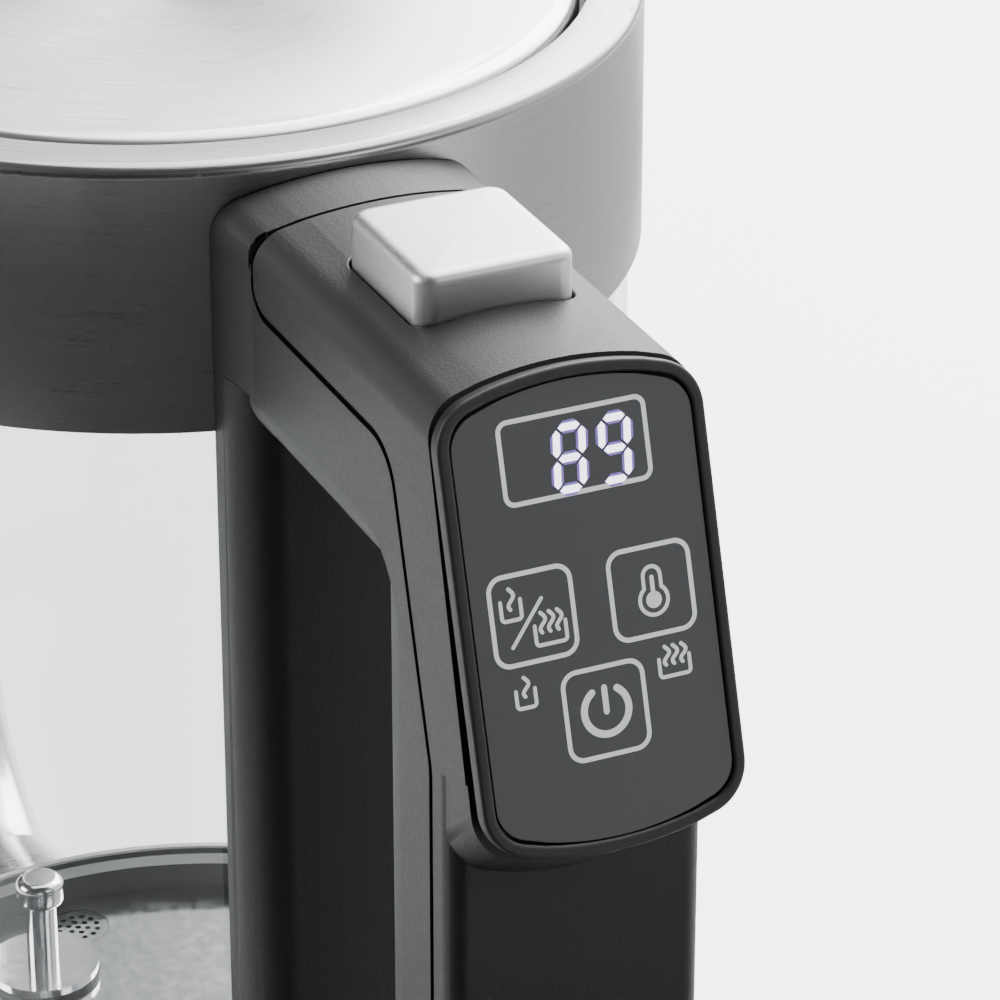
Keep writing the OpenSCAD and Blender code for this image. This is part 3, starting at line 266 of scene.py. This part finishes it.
def clear_glass(name):
    """Slightly uneven glass that lets light through to what stands behind it."""
    s = Shader(name, GLASS_TINT, 0.0)
    fill(s.bsdf, {"IOR": GLASS_IOR, "Transmission Weight": 1.0})
    s.bump(s.noise(s.position(), GLASS_WAVES, 1.0), 0.02, 0.0005)
    path = s.node("ShaderNodeLightPath")
    clear = s.node("ShaderNodeBsdfTransparent")
    clear.inputs["Color"].default_value = GLASS_SHADOW
    mix = s.node("ShaderNodeMixShader")
    s.link(path.outputs["Is Shadow Ray"], mix.inputs["Fac"])
    s.link(s.bsdf.outputs[0], mix.inputs[1])
    s.link(clear.outputs[0], mix.inputs[2])
    s.link(mix.outputs[0], s.tree.nodes["Material Output"].inputs["Surface"])
    return s.mat


def lit(name, color, strength):
    s = Shader(name, color, 0.5)
    fill(s.bsdf, {"Emission Color": (*color, 1.0), "Emission Strength": strength})
    return s.mat


# Same brushed steel as the lid but darker in tone: painted shade for the collar's sides, used for every
# brushed-steel piece
COLLAR_STEEL_PAINTED_SHADE = brushed_round("collar_steel_painted_shade", 0.36, 0.30, 0.6)
LID_STEEL = brushed_round("lid_steel", 0.66, 0.30, 0.6)
BUTTON_STEEL = brushed_straight("button_steel", 0.62, 0.42, 1)
SPOUT_STEEL = brushed_straight("spout_steel", 0.60, 0.26, 2)
BRIGHT_STEEL = plain_metal("bright_steel", (0.66, 0.66, 0.67), 0.12)
SCREW_STEEL = plain_metal("screw_steel_finish", (0.52, 0.52, 0.54), 0.34)
ELEMENT_STEEL = plain_metal("element_steel_finish", (0.16, 0.15, 0.145), 0.5)
ALUMINIUM = plain_metal("aluminium_finish", (0.62, 0.63, 0.64), 0.42)
BRASS = plain_metal("brass_finish", (0.70, 0.50, 0.20), 0.28)
GLASS = clear_glass("glass_finish")
HANDLE_PLASTIC = grained_plastic("handle_plastic", (0.012, 0.0125, 0.0135), 0.54, 2200.0, 0.35)
DARK_PLASTIC = grained_plastic("dark_plastic_finish", (0.035, 0.035, 0.037), 0.45, 1500.0, 0.15)
BEZEL_PLASTIC = grained_plastic("bezel_plastic", (0.018, 0.0185, 0.0195), 0.52, 2200.0, 0.2)
# Near-black plastic for the bezel's reveal and groove: painted shade where shadow falls
REVEAL_PAINTED_SHADE = grained_plastic("reveal_painted_shade", (0.006, 0.006, 0.0065), 0.5, 2200.0, 0.1)
# Seam edges in black without sheen: painted shade where the gap's shadow falls
SEAM_PAINTED_SHADE = grained_plastic("seam_painted_shade", (0.004, 0.004, 0.0045), 0.9, 2200.0, 0.0)
SEAM_PAINTED_SHADE.node_tree.nodes["Principled BSDF"].inputs["Specular IOR Level"].default_value = 0.0
FASCIA_FILM = grained_plastic("fascia_film", (0.086, 0.089, 0.093), 0.42, 3500.0, 0.03)
PALE_PLASTIC = grained_plastic("pale_plastic_finish", (0.70, 0.68, 0.62), 0.45, 900.0, 0.1)
BOARD_GREEN = grained_plastic("board_green", (0.03, 0.16, 0.07), 0.3, 400.0, 0.1)
BLACK_RUBBER = grained_plastic("black_rubber_finish", (0.022, 0.022, 0.023), 0.65, 900.0, 0.2)
PALE_RUBBER = grained_plastic("pale_rubber_finish", (0.62, 0.62, 0.61), 0.5, 700.0, 0.1)
WIRE_SLEEVE = grained_plastic("wire_sleeve_finish", (0.35, 0.03, 0.02), 0.5, 700.0, 0.1)
# Prints: pale print colour plus a faint glow, painted light that brightens them
PRINT_GREY_PAINTED_GLOW = lit("print_grey_painted_glow", (0.80, 0.82, 0.82), 0.28)
DIGIT_LIGHT = lit("digit_light", (0.93, 0.90, 1.0), 3.2)
HALO_LIGHT = [lit("digit_halo_%d" % k, (0.42, 0.30, 1.0), v) for k, v in enumerate((0.18, 0.07, 0.03))]

# Finish of each material slot of the record, and of the pieces that differ from their slot
FINISH = {
    "brushed_steel": COLLAR_STEEL_PAINTED_SHADE,
    "polished_steel": BRIGHT_STEEL,
    "screw_steel": SCREW_STEEL,
    "element_steel": ELEMENT_STEEL,
    "aluminium": ALUMINIUM,
    "brass": BRASS,
    "glass": GLASS,
    "black_plastic": HANDLE_PLASTIC,
    "dark_plastic": DARK_PLASTIC,
    "fascia_plastic": FASCIA_FILM,
    "pale_plastic": PALE_PLASTIC,
    "circuit_board": BOARD_GREEN,
    "black_rubber": BLACK_RUBBER,
    "pale_rubber": PALE_RUBBER,
    "wire_sleeve": WIRE_SLEEVE,
}
SPECIAL = {
    "lid_cover": LID_STEEL,
    "button_cap": BUTTON_STEEL,
    "spout_bend": SPOUT_STEEL,
    "spout_neck": SPOUT_STEEL,
    "spout_tip": SPOUT_STEEL,
    "spout_flange": SPOUT_STEEL,
    "panel_bezel": BEZEL_PLASTIC,
}
SLOT_OF = {p["node"]: p["material_slot"] for p in frame["record"]["subparts"]}

# Pieces with a soft edge of their own: the edge's width in millimetres
SOFT_EDGE = {
    "handle_inner_shell": 0.5,
    "handle_outer_shell": 0.35,
    "panel_fascia": 0.1,
    "base_shell": 0.4,
    "bottom_cover": 0.3,
    "spout_nut": 0.4,
    "probe_nut": 0.3,
    "power_relay": 0.4,
    "thermal_cutout": 0.5,
    "latch_bolt": 0.3,
}


def paint(obj, material):
    obj.data.materials.clear()
    obj.data.materials.append(material)


def chains(edges):
    """Groups of edges that hang together, so that a small feature limits only its own group."""
    waiting = set(edges)
    groups = []
    for first in edges:
        if first not in waiting:
            continue
        waiting.remove(first)
        group, reach = [], [first]
        while reach:
            edge = reach.pop()
            group.append(edge)
            for vert in edge.verts:
                for other in vert.link_edges:
                    if other in waiting:
                        waiting.remove(other)
                        reach.append(other)
        groups.append(group)
    return groups


def round_off(bm, edges, width, **more):
    """Rounds edges over a width in millimetres."""
    for chain in chains(edges):
        bmesh.ops.bevel(bm, geom=chain, offset=width * MM, offset_type="OFFSET", segments=3,
                        profile=0.5, affect="EDGES", **more)


# Seam along the handle's sides, in millimetres
ACROSS_SEAM = {"handle_inner_shell": "handle_outer_shell", "handle_outer_shell": "handle_inner_shell"}
SEAM_REACH = 0.9  # edges as near as this to the other shell lie along the seam
SEAM_SIDE = 17.0  # least distance from the handle's middle plane
SEAM_EDGE = 0.35  # width of the edge painted black as the gap's shade

# Front of the handle's shoe, in millimetres
SHOE_FRONT = (84.0, 85.0)  # where it lies along X
SHOE_FROM = 76.0  # where its sides begin to draw in
SHOE_IN = 19.3  # distance from the middle plane that they draw in to


def ease_shoe(bm):
    """Draws the shoe's sides in towards its front, so that they run into the arm's sides."""
    front = [v for v in bm.verts
             if SHOE_FRONT[0] < v.co.x / MM < SHOE_FRONT[1] and abs(v.co.y) / MM > SHOE_IN]
    faces = list(dict.fromkeys(f for v in front for f in v.link_faces))
    edges = list(dict.fromkeys(e for f in faces for e in f.edges))
    verts = list(dict.fromkeys(v for f in faces for v in f.verts))
    bmesh.ops.bisect_plane(bm, geom=verts + edges + faces, plane_co=(SHOE_FROM * MM, 0.0, 0.0),
                           plane_no=(1.0, 0.0, 0.0))
    for v in front:
        v.co.y = math.copysign(SHOE_IN * MM, v.co.y)


def beside_seam(name):
    """A test for the edges that lie along the seam to the other shell."""
    other = NODES[ACROSS_SEAM[name]].data
    tree = BVHTree.FromPolygons([v.co for v in other.vertices],
                                [list(f.vertices) for f in other.polygons])

    def near(edge):
        a, b = edge.verts[0].co, edge.verts[1].co
        return all(abs(p.y) > SEAM_SIDE * MM and tree.find_nearest(p, SEAM_REACH * MM)[0] is not None
                   for p in (a, (a + b) / 2, b))
    return near


def dressed(name, width):
    """A copy of a CAD node with whole flat faces and rounded edges, which stands for the node."""
    bm = bmesh.new()
    bm.from_mesh(NODES[name].data)
    bmesh.ops.remove_doubles(bm, verts=bm.verts, dist=WELD)
    bmesh.ops.dissolve_limit(bm, angle_limit=FLAT_ANGLE, verts=bm.verts, edges=bm.edges)
    if name == "handle_inner_shell":
        ease_shoe(bm)
    sharp = [e for e in bm.edges if len(e.link_faces) == 2 and e.calc_face_angle(0.0) > SHARP_ANGLE]
    if name in ACROSS_SEAM:
        near = beside_seam(name)
        seam = [e for e in sharp if e.is_convex and near(e)]
        along = set(seam)
        sharp = [e for e in sharp if e not in along]
        # The seam's edges take material 1, the black painted shade of the gap
        round_off(bm, seam, SEAM_EDGE, clamp_overlap=False, material=1)
        sharp = [e for e in sharp if e.is_valid]
    round_off(bm, sharp, width, clamp_overlap=True)
    mesh = bpy.data.meshes.new(name + "_soft")
    bm.to_mesh(mesh)
    bm.free()
    mesh.shade_smooth()
    mesh.set_sharp_from_angle(angle=SOFT_CREASE)
    obj = stand_in(name, mesh)
    even = obj.modifiers.new("even", "WEIGHTED_NORMAL")
    even.keep_sharp = True
    return obj


def stand_in(name, mesh):
    """An object that is shown in place of a CAD node."""
    obj = add(name + "_soft", mesh)
    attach(obj, NODES[name]["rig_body"])
    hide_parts(name)
    return obj


def smoothed(mesh):
    """The mesh with its faces turned outwards and smooth, apart from its sharp edges."""
    bm = bmesh.new()
    bm.from_mesh(mesh)
    bmesh.ops.recalc_face_normals(bm, faces=bm.faces)
    bm.to_mesh(mesh)
    bm.free()
    mesh.shade_smooth()
    mesh.set_sharp_from_angle(angle=CREASE)
    return mesh


# Outline of the panel, in millimetres: the rise of its arched ends and its rounded corners
PANEL_ARCH = 3.5
PANEL_CORNER = 7.0
ARCH_STEPS = 20  # from the middle to the side
ARCH_END = 12  # step at which the rounded corner takes over
CORNER_STEPS = 12

# Section of the bezel, in millimetres inwards from the outline and outwards from the fascia's face
BEZEL_W = 1.8
BEZEL_FRONT = 0.3
BEZEL_ROUND = 0.5
BEZEL_NECK = 1.8
BEZEL_INNER = 3.2
BEZEL_CHAMFER = 0.2
BEZEL_LEDGE = -1.3
BEZEL_UNDER = -2.1
BEZEL_BACK = -6.4
BEZEL_RING = range(7, 17)  # faces of the section that make the ring round the fascia


def panel_size():
    """Length and width of the bezel's plate in millimetres."""
    ends = [extent("panel_bezel", axis) for axis in (PANEL_DOWN, PANEL_ACROSS)]
    return [(high - low) / MM for low, high in ends]


def fillet(before, corner, after, r, steps):
    """Points of the arc that rounds a corner."""
    u, v = (before - corner).normalized(), (after - corner).normalized()
    half = math.acos(u.dot(v)) / 2
    centre = corner + (u + v).normalized() * r / math.sin(half)
    first = corner + u * r / math.tan(half) - centre
    last = corner + v * r / math.tan(half) - centre
    turn = first.angle_signed(last)
    return [centre + Matrix.Rotation(-turn * k / steps, 2) @ first for k in range(steps + 1)]


def panel_edge():
    """The plate's outline as (down, across) points: arched ends and rounded corners."""
    length, width = panel_size()
    x, y = length / 2, width / 2
    arch = [Vector((x - PANEL_ARCH * (k / ARCH_STEPS) ** 2, y * k / ARCH_STEPS))
            for k in range(-ARCH_END, ARCH_END + 1)]
    corner = Vector((x - PANEL_ARCH, y))
    half = arch + fillet(arch[-1], corner, Vector((0.0, y)), PANEL_CORNER, CORNER_STEPS)
    half = fillet(Vector((0.0, -y)), Vector((corner.x, -y)), arch[0], PANEL_CORNER, CORNER_STEPS) + half
    return half + [-p for p in half]


def bezel_section():
    """The bezel's section as (inset, out) points, from its neck round the plate to the fascia's ledge."""
    r = BEZEL_ROUND
    turn = [(math.cos(a), math.sin(a)) for a in QUARTER]
    neck = [(BEZEL_INNER, BEZEL_BACK), (BEZEL_NECK, BEZEL_BACK), (BEZEL_NECK, BEZEL_UNDER)]
    chamfer = [(BEZEL_CHAMFER, BEZEL_UNDER), (0.0, BEZEL_UNDER + BEZEL_CHAMFER)]
    outer = [(r - r * c, BEZEL_FRONT - r + r * q) for c, q in turn]
    inner = [(BEZEL_W - r + r * q, BEZEL_FRONT - r + r * c) for c, q in turn]
    ledge = [(BEZEL_W, BEZEL_LEDGE), (BEZEL_INNER, BEZEL_LEDGE)]
    return neck + chamfer + outer + inner + ledge


def bezel_mesh():
    edge = panel_edge()
    n = len(edge)
    section = bezel_section()
    points = []
    for i, p in enumerate(edge):
        along = (edge[(i + 1) % n] - edge[i - 1]).normalized()
        inward = Vector((-along.y, along.x))
        points += [PANEL @ Vector((*(p + inward * inset), out)) for inset, out in section]
    m = len(section)
    faces = [(i * m + k, (i + 1) % n * m + k, (i + 1) % n * m + (k + 1) % m, i * m + (k + 1) % m)
             for i in range(n) for k in range(m)]
    mesh = bpy.data.meshes.new("panel_bezel_soft")
    mesh.from_pydata(points, [], faces)
    return smoothed(mesh)


def painted_shade_sides(bezel):
    """The bezel's outer side and its groove in painted shade: a black plastic darker than its ring, where
    shadow falls.
    """
    bezel.data.materials.append(REVEAL_PAINTED_SHADE)
    per_row = len(bezel_section())
    for face in bezel.data.polygons:
        face.material_index = 0 if face.index % per_row in BEZEL_RING else 1


# Button cap, in millimetres: rounded upright corners and a rounded upper edge
BUTTON_CORNER = 3.0
BUTTON_LEAST_CORNER = 0.3
BUTTON_STEPS = 8
BUTTON_EDGE = 1.6
BUTTON_WALL = 0.8
BUTTON_CROWN = 0.35
BUTTON_TOP = (0.5, 2.5, 5.0, 8.0)  # rings on the top, inwards from the rounded edge


def button_ring(low, high, inset, z):
    """The cap's rounded outline in plan, drawn in by an inset, at a height, in metres."""
    r = max(BUTTON_CORNER - inset, BUTTON_LEAST_CORNER) * MM
    x0, y0 = low.x + inset * MM + r, low.y + inset * MM + r
    x1, y1 = high.x - inset * MM - r, high.y - inset * MM - r
    ring = []
    for cx, cy, start in ((x1, y1, 0), (x0, y1, 90), (x0, y0, 180), (x1, y0, 270)):
        for k in range(BUTTON_STEPS + 1):
            turn = math.radians(start + 90 * k / BUTTON_STEPS)
            ring.append(Vector((cx + r * math.cos(turn), cy + r * math.sin(turn), z)))
    return ring


def button_mesh():
    co = [v.co for v in NODES["button_cap"].data.vertices]
    low = Vector([min(p[i] for p in co) for i in range(3)])
    high = Vector([max(p[i] for p in co) for i in range(3)])
    half = (high.y - low.y) / 2

    def shell(wall):
        edge = BUTTON_EDGE - wall
        top = high.z - wall * MM
        rings = [button_ring(low, high, wall, low.z)]
        for turn in QUARTER:
            inset = wall + edge - edge * math.cos(turn)
            rings.append(button_ring(low, high, inset, top - (edge - edge * math.sin(turn)) * MM))
        rings += [button_ring(low, high, wall + edge + more, top) for more in BUTTON_TOP]
        for ring in rings[1:]:
            for p in ring:
                p.z -= BUTTON_CROWN * MM * (p.y / half) ** 2
        return rings

    outer, inner = shell(0.0), shell(BUTTON_WALL)
    rings = outer[::-1] + inner
    n = len(rings[0])
    faces = [(i * n + k, i * n + (k + 1) % n, (i + 1) * n + (k + 1) % n, (i + 1) * n + k)
             for i in range(len(rings) - 1) for k in range(n)]
    faces += [tuple(range(n)), tuple(range((len(rings) - 1) * n, len(rings) * n))]
    mesh = bpy.data.meshes.new("button_cap_soft")
    mesh.from_pydata([p for ring in rings for p in ring], [], faces)
    return smoothed(mesh)


LOFTED = {"panel_bezel": bezel_mesh, "button_cap": button_mesh}

for name, node in NODES.items():
    slot = SLOT_OF[name]
    material = SPECIAL.get(name, FINISH[slot])
    paint(node, material)
    shown = node
    if name in LOFTED:
        shown = stand_in(name, LOFTED[name]())
        paint(shown, material)
        if name == "panel_bezel":
            painted_shade_sides(shown)
    elif name in SOFT_EDGE:
        shown = dressed(name, SOFT_EDGE[name])
        shown.data.materials.append(material)
        # The shells' second slot is the seam's painted shade
        if name in ACROSS_SEAM:
            shown.data.materials.append(SEAM_PAINTED_SHADE)
    else:
        weld = node.modifiers.new("weld", "WELD")
        weld.merge_threshold = WELD
        split = node.modifiers.new("split", "EDGE_SPLIT")
        split.split_angle = CREASE
        node.data.shade_smooth()


# Prints and figures on the panel
class Flat:
    """Flat shapes in panel millimetres: across (right), down (from the display's middle)."""

    def __init__(self, lift):
        self.lift = lift
        self.points = []
        self.faces = []

    def polygon(self, pts):
        start = len(self.points)
        self.points += [(t + DISPLAY_AT, y, self.lift) for y, t in pts]
        self.faces.append(tuple(range(start, start + len(pts))))

    def ribbon(self, pts, width, closed=False):
        """A line of even width through points, with round ends if it isn't closed."""
        pts = [Vector(p) for p in pts]
        n = len(pts)
        sides = []
        for i, p in enumerate(pts):
            before = pts[(i - 1) % n] if closed or i > 0 else None
            after = pts[(i + 1) % n] if closed or i < n - 1 else None
            a = (p - before).normalized() if before is not None else (after - p).normalized()
            b = (after - p).normalized() if after is not None else a
            normal = Vector((-a.y - b.y, a.x + b.x)).normalized()
            reach = width / 2 / max(0.4, normal.dot(Vector((-a.y, a.x))))
            sides.append((p + normal * reach, p - normal * reach))
        for i in range(n if closed else n - 1):
            (a0, a1), (b0, b1) = sides[i], sides[(i + 1) % n]
            self.polygon([a0, b0, b1, a1])
        if not closed:
            for p in (pts[0], pts[-1]):
                self.dot(p, width / 2, 10)

    def dot(self, centre, r, steps=24):
        cy, ct = centre
        turns = [2 * math.pi * k / steps for k in range(steps)]
        self.polygon([(cy + r * math.cos(a), ct + r * math.sin(a)) for a in turns])

    def make(self, name, material):
        mesh = bpy.data.meshes.new(name)
        mesh.from_pydata([PANEL @ Vector(p) for p in self.points], [], self.faces)
        bm = bmesh.new()
        bm.from_mesh(mesh)
        for f in bm.faces:
            if f.normal.dot(PANEL_OUT) < 0:
                f.normal_flip()
        bm.to_mesh(mesh)
        bm.free()
        obj = add(name, mesh)
        paint(obj, material)
        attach(obj, "jug")


# Widths of the printed lines and details of the signs, in millimetres
LINE = 0.66
THIN = 0.54
STEAM_SWAY = 0.42
STEAM_STEPS = 14
STEAM_START = 0.08  # part of a wave before the line begins
CUP_CORNER = 0.5
FRAME_STEPS = 8

# Heights of the flat pieces over the fascia, in millimetres
PRINT_LIFT = 0.02
FIGURE_LIFT = 0.05
HALO_LIFTS = (0.04, 0.03, 0.02)


def arc(cy, ct, r, start, end, steps):
    """Points of an arc in degrees, measured from right towards down."""
    turns = [math.radians(start + (end - start) * k / steps) for k in range(steps + 1)]
    return [(cy + r * math.cos(a), ct + r * math.sin(a)) for a in turns]


def round_rect(y0, y1, t0, t1, r):
    corners = ((y1 - r, t1 - r, 0), (y0 + r, t1 - r, 90), (y0 + r, t0 + r, 180), (y1 - r, t0 + r, 270))
    return [p for cy, ct, start in corners for p in arc(cy, ct, r, start, start + 90, FRAME_STEPS)]


def steam(shapes, y, t0, t1, width):
    """One wavy line of steam from t0 down to t1."""
    parts = [k / STEAM_STEPS for k in range(STEAM_STEPS + 1)]
    shapes.ribbon([(y + STEAM_SWAY * math.sin(2 * math.pi * (part - STEAM_START)), t0 + (t1 - t0) * part)
                   for part in parts], width)


def cup(shapes, y0, y1, t0, t1, width, steams):
    """A cup with an open top and lines of steam standing in it."""
    r = CUP_CORNER
    floor_line = arc(y0 + r, t1 - r, r, 180, 90, 5) + arc(y1 - r, t1 - r, r, 90, 0, 5)
    shapes.ribbon([(y0, t0)] + floor_line + [(y1, t0)], width)
    for y, s0, s1 in steams:
        steam(shapes, y, s0, s1, width)


prints = Flat(PRINT_LIFT)

# Frames of the display and of the left, right and power keys
for *box, corner in ((-10.5, 10.5, -6.1, 4.9, 1.3), (-14.6, -2.9, 14.0, 26.0, 2.0),
                     (2.7, 14.4, 14.0, 26.0, 2.0), (-5.8, 5.8, 28.7, 40.7, 2.0)):
    prints.ribbon(round_rect(*box, corner), LINE, closed=True)

# Left key: a small cup, a slash and a cup with three lines of steam
cup(prints, -13.15, -10.3, 17.3, 19.95, THIN, [(-11.6, 15.7, 18.5)])
prints.ribbon([(-12.1, 23.6), (-7.3, 17.8)], THIN)
cup(prints, -8.7, -4.25, 21.35, 24.05, THIN, [(y, 19.7, 22.4) for y in (-7.5, -6.3, -5.1)])

# Right key: a thermometer
BULB = (8.75, 21.3)
prints.ribbon(arc(8.75, 18.0, 1.25, 180, 360, 10) + arc(*BULB, 2.05, -52, 232, 24), THIN, closed=True)
prints.dot(BULB, 1.15)
prints.ribbon([BULB, (8.75, 18.2)], 0.62)

# Power key
prints.ribbon(arc(0.05, 34.6, 3.25, -56, 236, 30), 1.0)
prints.ribbon([(0.05, 31.5), (0.05, 34.8)], 0.85)

# Marks of the two lights
cup(prints, -12.5, -9.75, 29.5, 31.9, THIN, [(-11.0, 27.8, 30.4)])
cup(prints, 8.4, 12.85, 29.5, 32.0, THIN, [(y, 27.9, 30.4) for y in (9.6, 10.8, 12.05)])
prints.make("panel_prints", PRINT_GREY_PAINTED_GLOW)

# Figures of the display, in millimetres: places, lit bars, size, slant and the gaps at the ends of the bars
FIGURES = ((-0.8, "abcdefg"), (5.75, "abcdfg"))
FIGURE_DOWN = 0.15
FIGURE_W = 4.7
FIGURE_H = 9.3
FIGURE_BAR = 1.0
FIGURE_SLANT = math.tan(math.radians(5.0))
FIGURE_GAP = 0.28
HALO_GAP = 0.2
HALO_STEP = 0.25  # each halo is wider than the last by this


def figure_bar(cy, which, more, gap):
    """One of the seven bars of a figure, made larger for its halo, as a six-sided outline."""
    thick = FIGURE_BAR + more
    half_w, half_h = (FIGURE_W + more) / 2 - thick / 2, (FIGURE_H + more) / 2 - thick / 2
    ends = {
        "a": ((-half_w, -half_h), (half_w, -half_h)), "g": ((-half_w, 0), (half_w, 0)),
        "d": ((-half_w, half_h), (half_w, half_h)), "f": ((-half_w, -half_h), (-half_w, 0)),
        "b": ((half_w, -half_h), (half_w, 0)), "e": ((-half_w, 0), (-half_w, half_h)),
        "c": ((half_w, 0), (half_w, half_h))}[which]
    p, q = Vector(ends[0]), Vector(ends[1])
    u = (q - p).normalized()
    v = Vector((-u.y, u.x)) * thick / 2
    p, q = p + u * gap, q - u * gap
    tip = u * thick / 2
    raw = [p, p + tip + v, q - tip + v, q, q - tip - v, p + tip - v]
    return [(cy + a.x - a.y * FIGURE_SLANT, FIGURE_DOWN + a.y) for a in raw]


figures = Flat(FIGURE_LIFT)
halos = [Flat(lift) for lift in HALO_LIFTS]
for centre, bars in FIGURES:
    for bar in bars:
        figures.polygon(figure_bar(centre, bar, 0.0, FIGURE_GAP))
        for k, halo in enumerate(halos):
            halo.polygon(figure_bar(centre, bar, HALO_STEP * (k + 1), HALO_GAP))
figures.make("display_figures", DIGIT_LIGHT)
for k, halo in enumerate(halos):
    halo.make("display_halo_%d" % k, HALO_LIGHT[k])

# Floor, which glows a little to the camera alone
FLOOR_SIZE = 14.0
FLOOR_TONE = (0.90, 0.905, 0.91)
FLOOR_DARK, FLOOR_LIGHT = (0.89, 0.895, 0.90), (0.91, 0.915, 0.92)
FLOOR_GLOW = (0.97, 0.985, 1.0, 1.0)
FLOOR_GLOW_STRENGTH = 2.2


def floor_material():
    s = Shader("floor_pale", FLOOR_TONE, 0.6)
    s.tint(s.noise(s.position(), 1.5, 2.0), FLOOR_DARK, FLOOR_LIGHT)
    s.bsdf.inputs["Emission Color"].default_value = FLOOR_GLOW
    path = s.node("ShaderNodeLightPath")
    s.link(s.math("MULTIPLY", path.outputs["Is Camera Ray"], FLOOR_GLOW_STRENGTH),
           s.bsdf.inputs["Emission Strength"])
    return s.mat


bpy.ops.mesh.primitive_plane_add(size=FLOOR_SIZE, location=(0.0, 0.0, 0.0))
floor = bpy.context.object
floor.name = "floor"
paint(floor, floor_material())

# Cards of the studio
CARD_BLACK = (0.03, 0.03, 0.031)
CARD_ROUGH = 0.8
CARD_FOOT = 0.001  # height of an upright card's lower edge
CARD_LIE = 0.002  # height of a flat card
CARD_STEPS = 40


def out_of_sight(card):
    """A card of the studio that is reflected but isn't seen itself."""
    card.visible_camera = False
    card.visible_transmission = False


def dark_card(radius, height, start, end):
    """A low black card that stands in an arc on the camera's side, for the steel to reflect."""
    points = []
    for k in range(CARD_STEPS + 1):
        turn = math.radians(start + (end - start) * k / CARD_STEPS)
        x, y = radius * math.cos(turn), radius * math.sin(turn)
        points += [(x, y, CARD_FOOT), (x, y, height)]
    faces = [(2 * k, 2 * k + 2, 2 * k + 3, 2 * k + 1) for k in range(CARD_STEPS)]
    mesh = bpy.data.meshes.new("dark_card")
    mesh.from_pydata(points, [], faces)
    obj = add("dark_card", mesh)
    paint(obj, Shader("card_black", CARD_BLACK, CARD_ROUGH).mat)
    out_of_sight(obj)


def floor_card(name, low, high, grey):
    """A flat card on the floor beside the picture, for the steel and the plastic to reflect."""
    (x0, y0), (x1, y1) = low, high
    points = [(x, y, CARD_LIE) for x, y in ((x0, y0), (x1, y0), (x1, y1), (x0, y1))]
    mesh = bpy.data.meshes.new(name)
    mesh.from_pydata(points, [], [(0, 1, 2, 3)])
    obj = add(name, mesh)
    paint(obj, Shader(name + "_grey", (grey, grey, grey), CARD_ROUGH).mat)
    out_of_sight(obj)
    obj.visible_shadow = False


dark_card(0.42, 0.20, -110.0, 0.0)
dark_card(0.37, 0.025, 0.0, 40.0)
floor_card("front_card", (0.16, -0.30), (0.46, 0.30), 0.03)
floor_card("right_card", (-0.40, 0.42), (0.50, 1.10), 0.30)

# Camera: its place, the direction back towards it, and its lens and sensor in millimetres
CAMERA_AT = (0.6761, -0.2528, 0.54155)
CAMERA_BACK = Vector((0.8074, -0.3712, 0.4588)).normalized()
CAMERA_LENS = 180.0
CAMERA_SENSOR = 36.0
CAMERA_CLIP = (0.01, 50.0)


def aim(obj, place, direction):
    """Sets an object at a place and turns it to look in a direction."""
    obj.location = place
    obj.rotation_mode = "QUATERNION"
    obj.rotation_quaternion = direction.to_track_quat("-Z", "Y")


camera_data = bpy.data.cameras.new("camera")
camera_data.sensor_width = CAMERA_SENSOR
camera_data.lens = CAMERA_LENS
camera_data.clip_start, camera_data.clip_end = CAMERA_CLIP
camera = add("camera", camera_data)
aim(camera, CAMERA_AT, -CAMERA_BACK)
bpy.context.scene.camera = camera


# Lights
def area(name, place, target, size, power):
    data = bpy.data.lights.new(name, "AREA")
    data.shape = "RECTANGLE"
    data.size, data.size_y = size
    data.energy = power
    aim(add(name, data), place, Vector(target) - Vector(place))


area("overhead", (-0.35, 0.60, 1.6), (-0.1, 0.2, 0.0), (1.6, 1.6), 44.0)
area("back_wall", (-0.88, 1.17, 0.95), (0.0, 0.0, 0.2), (1.4, 1.2), 66.0)
area("left_edge", (-0.6, -1.6, 0.9), (0.05, 0.0, 0.2), (0.9, 0.8), 26.0)
area("front_fill", (0.62, 0.30, 0.55), (0.60, 0.24, 0.0), (0.3, 0.3), 1.2)

# Sky: its colour, its pale side, where it fades and its strength on the dim and the pale side
SKY_COLOR = (0.92, 0.94, 0.96, 1.0)
SKY_SIDE = (-0.25, 0.90, 0.35)
SKY_FADE = (0.56, 0.74)
SKY_STRENGTH = (0.06, 1.8)


def studio_world():
    """Sky that is pale behind and to the right of the kettle and dim on the camera's side."""
    world = bpy.data.worlds.new("studio")
    world.use_nodes = True
    tree = world.node_tree
    sky = tree.nodes["Background"]
    coord = tree.nodes.new("ShaderNodeTexCoord")
    facing = tree.nodes.new("ShaderNodeVectorMath")
    facing.operation = "DOT_PRODUCT"
    facing.inputs[1].default_value = SKY_SIDE
    fade = tree.nodes.new("ShaderNodeMapRange")
    fill(fade, {"From Min": SKY_FADE[0], "From Max": SKY_FADE[1],
                "To Min": SKY_STRENGTH[0], "To Max": SKY_STRENGTH[1]})
    tree.links.new(coord.outputs["Generated"], facing.inputs[0])
    tree.links.new(facing.outputs["Value"], fade.inputs["Value"])
    tree.links.new(fade.outputs["Result"], sky.inputs["Strength"])
    sky.inputs["Color"].default_value = SKY_COLOR
    return world


bpy.context.scene.world = studio_world()
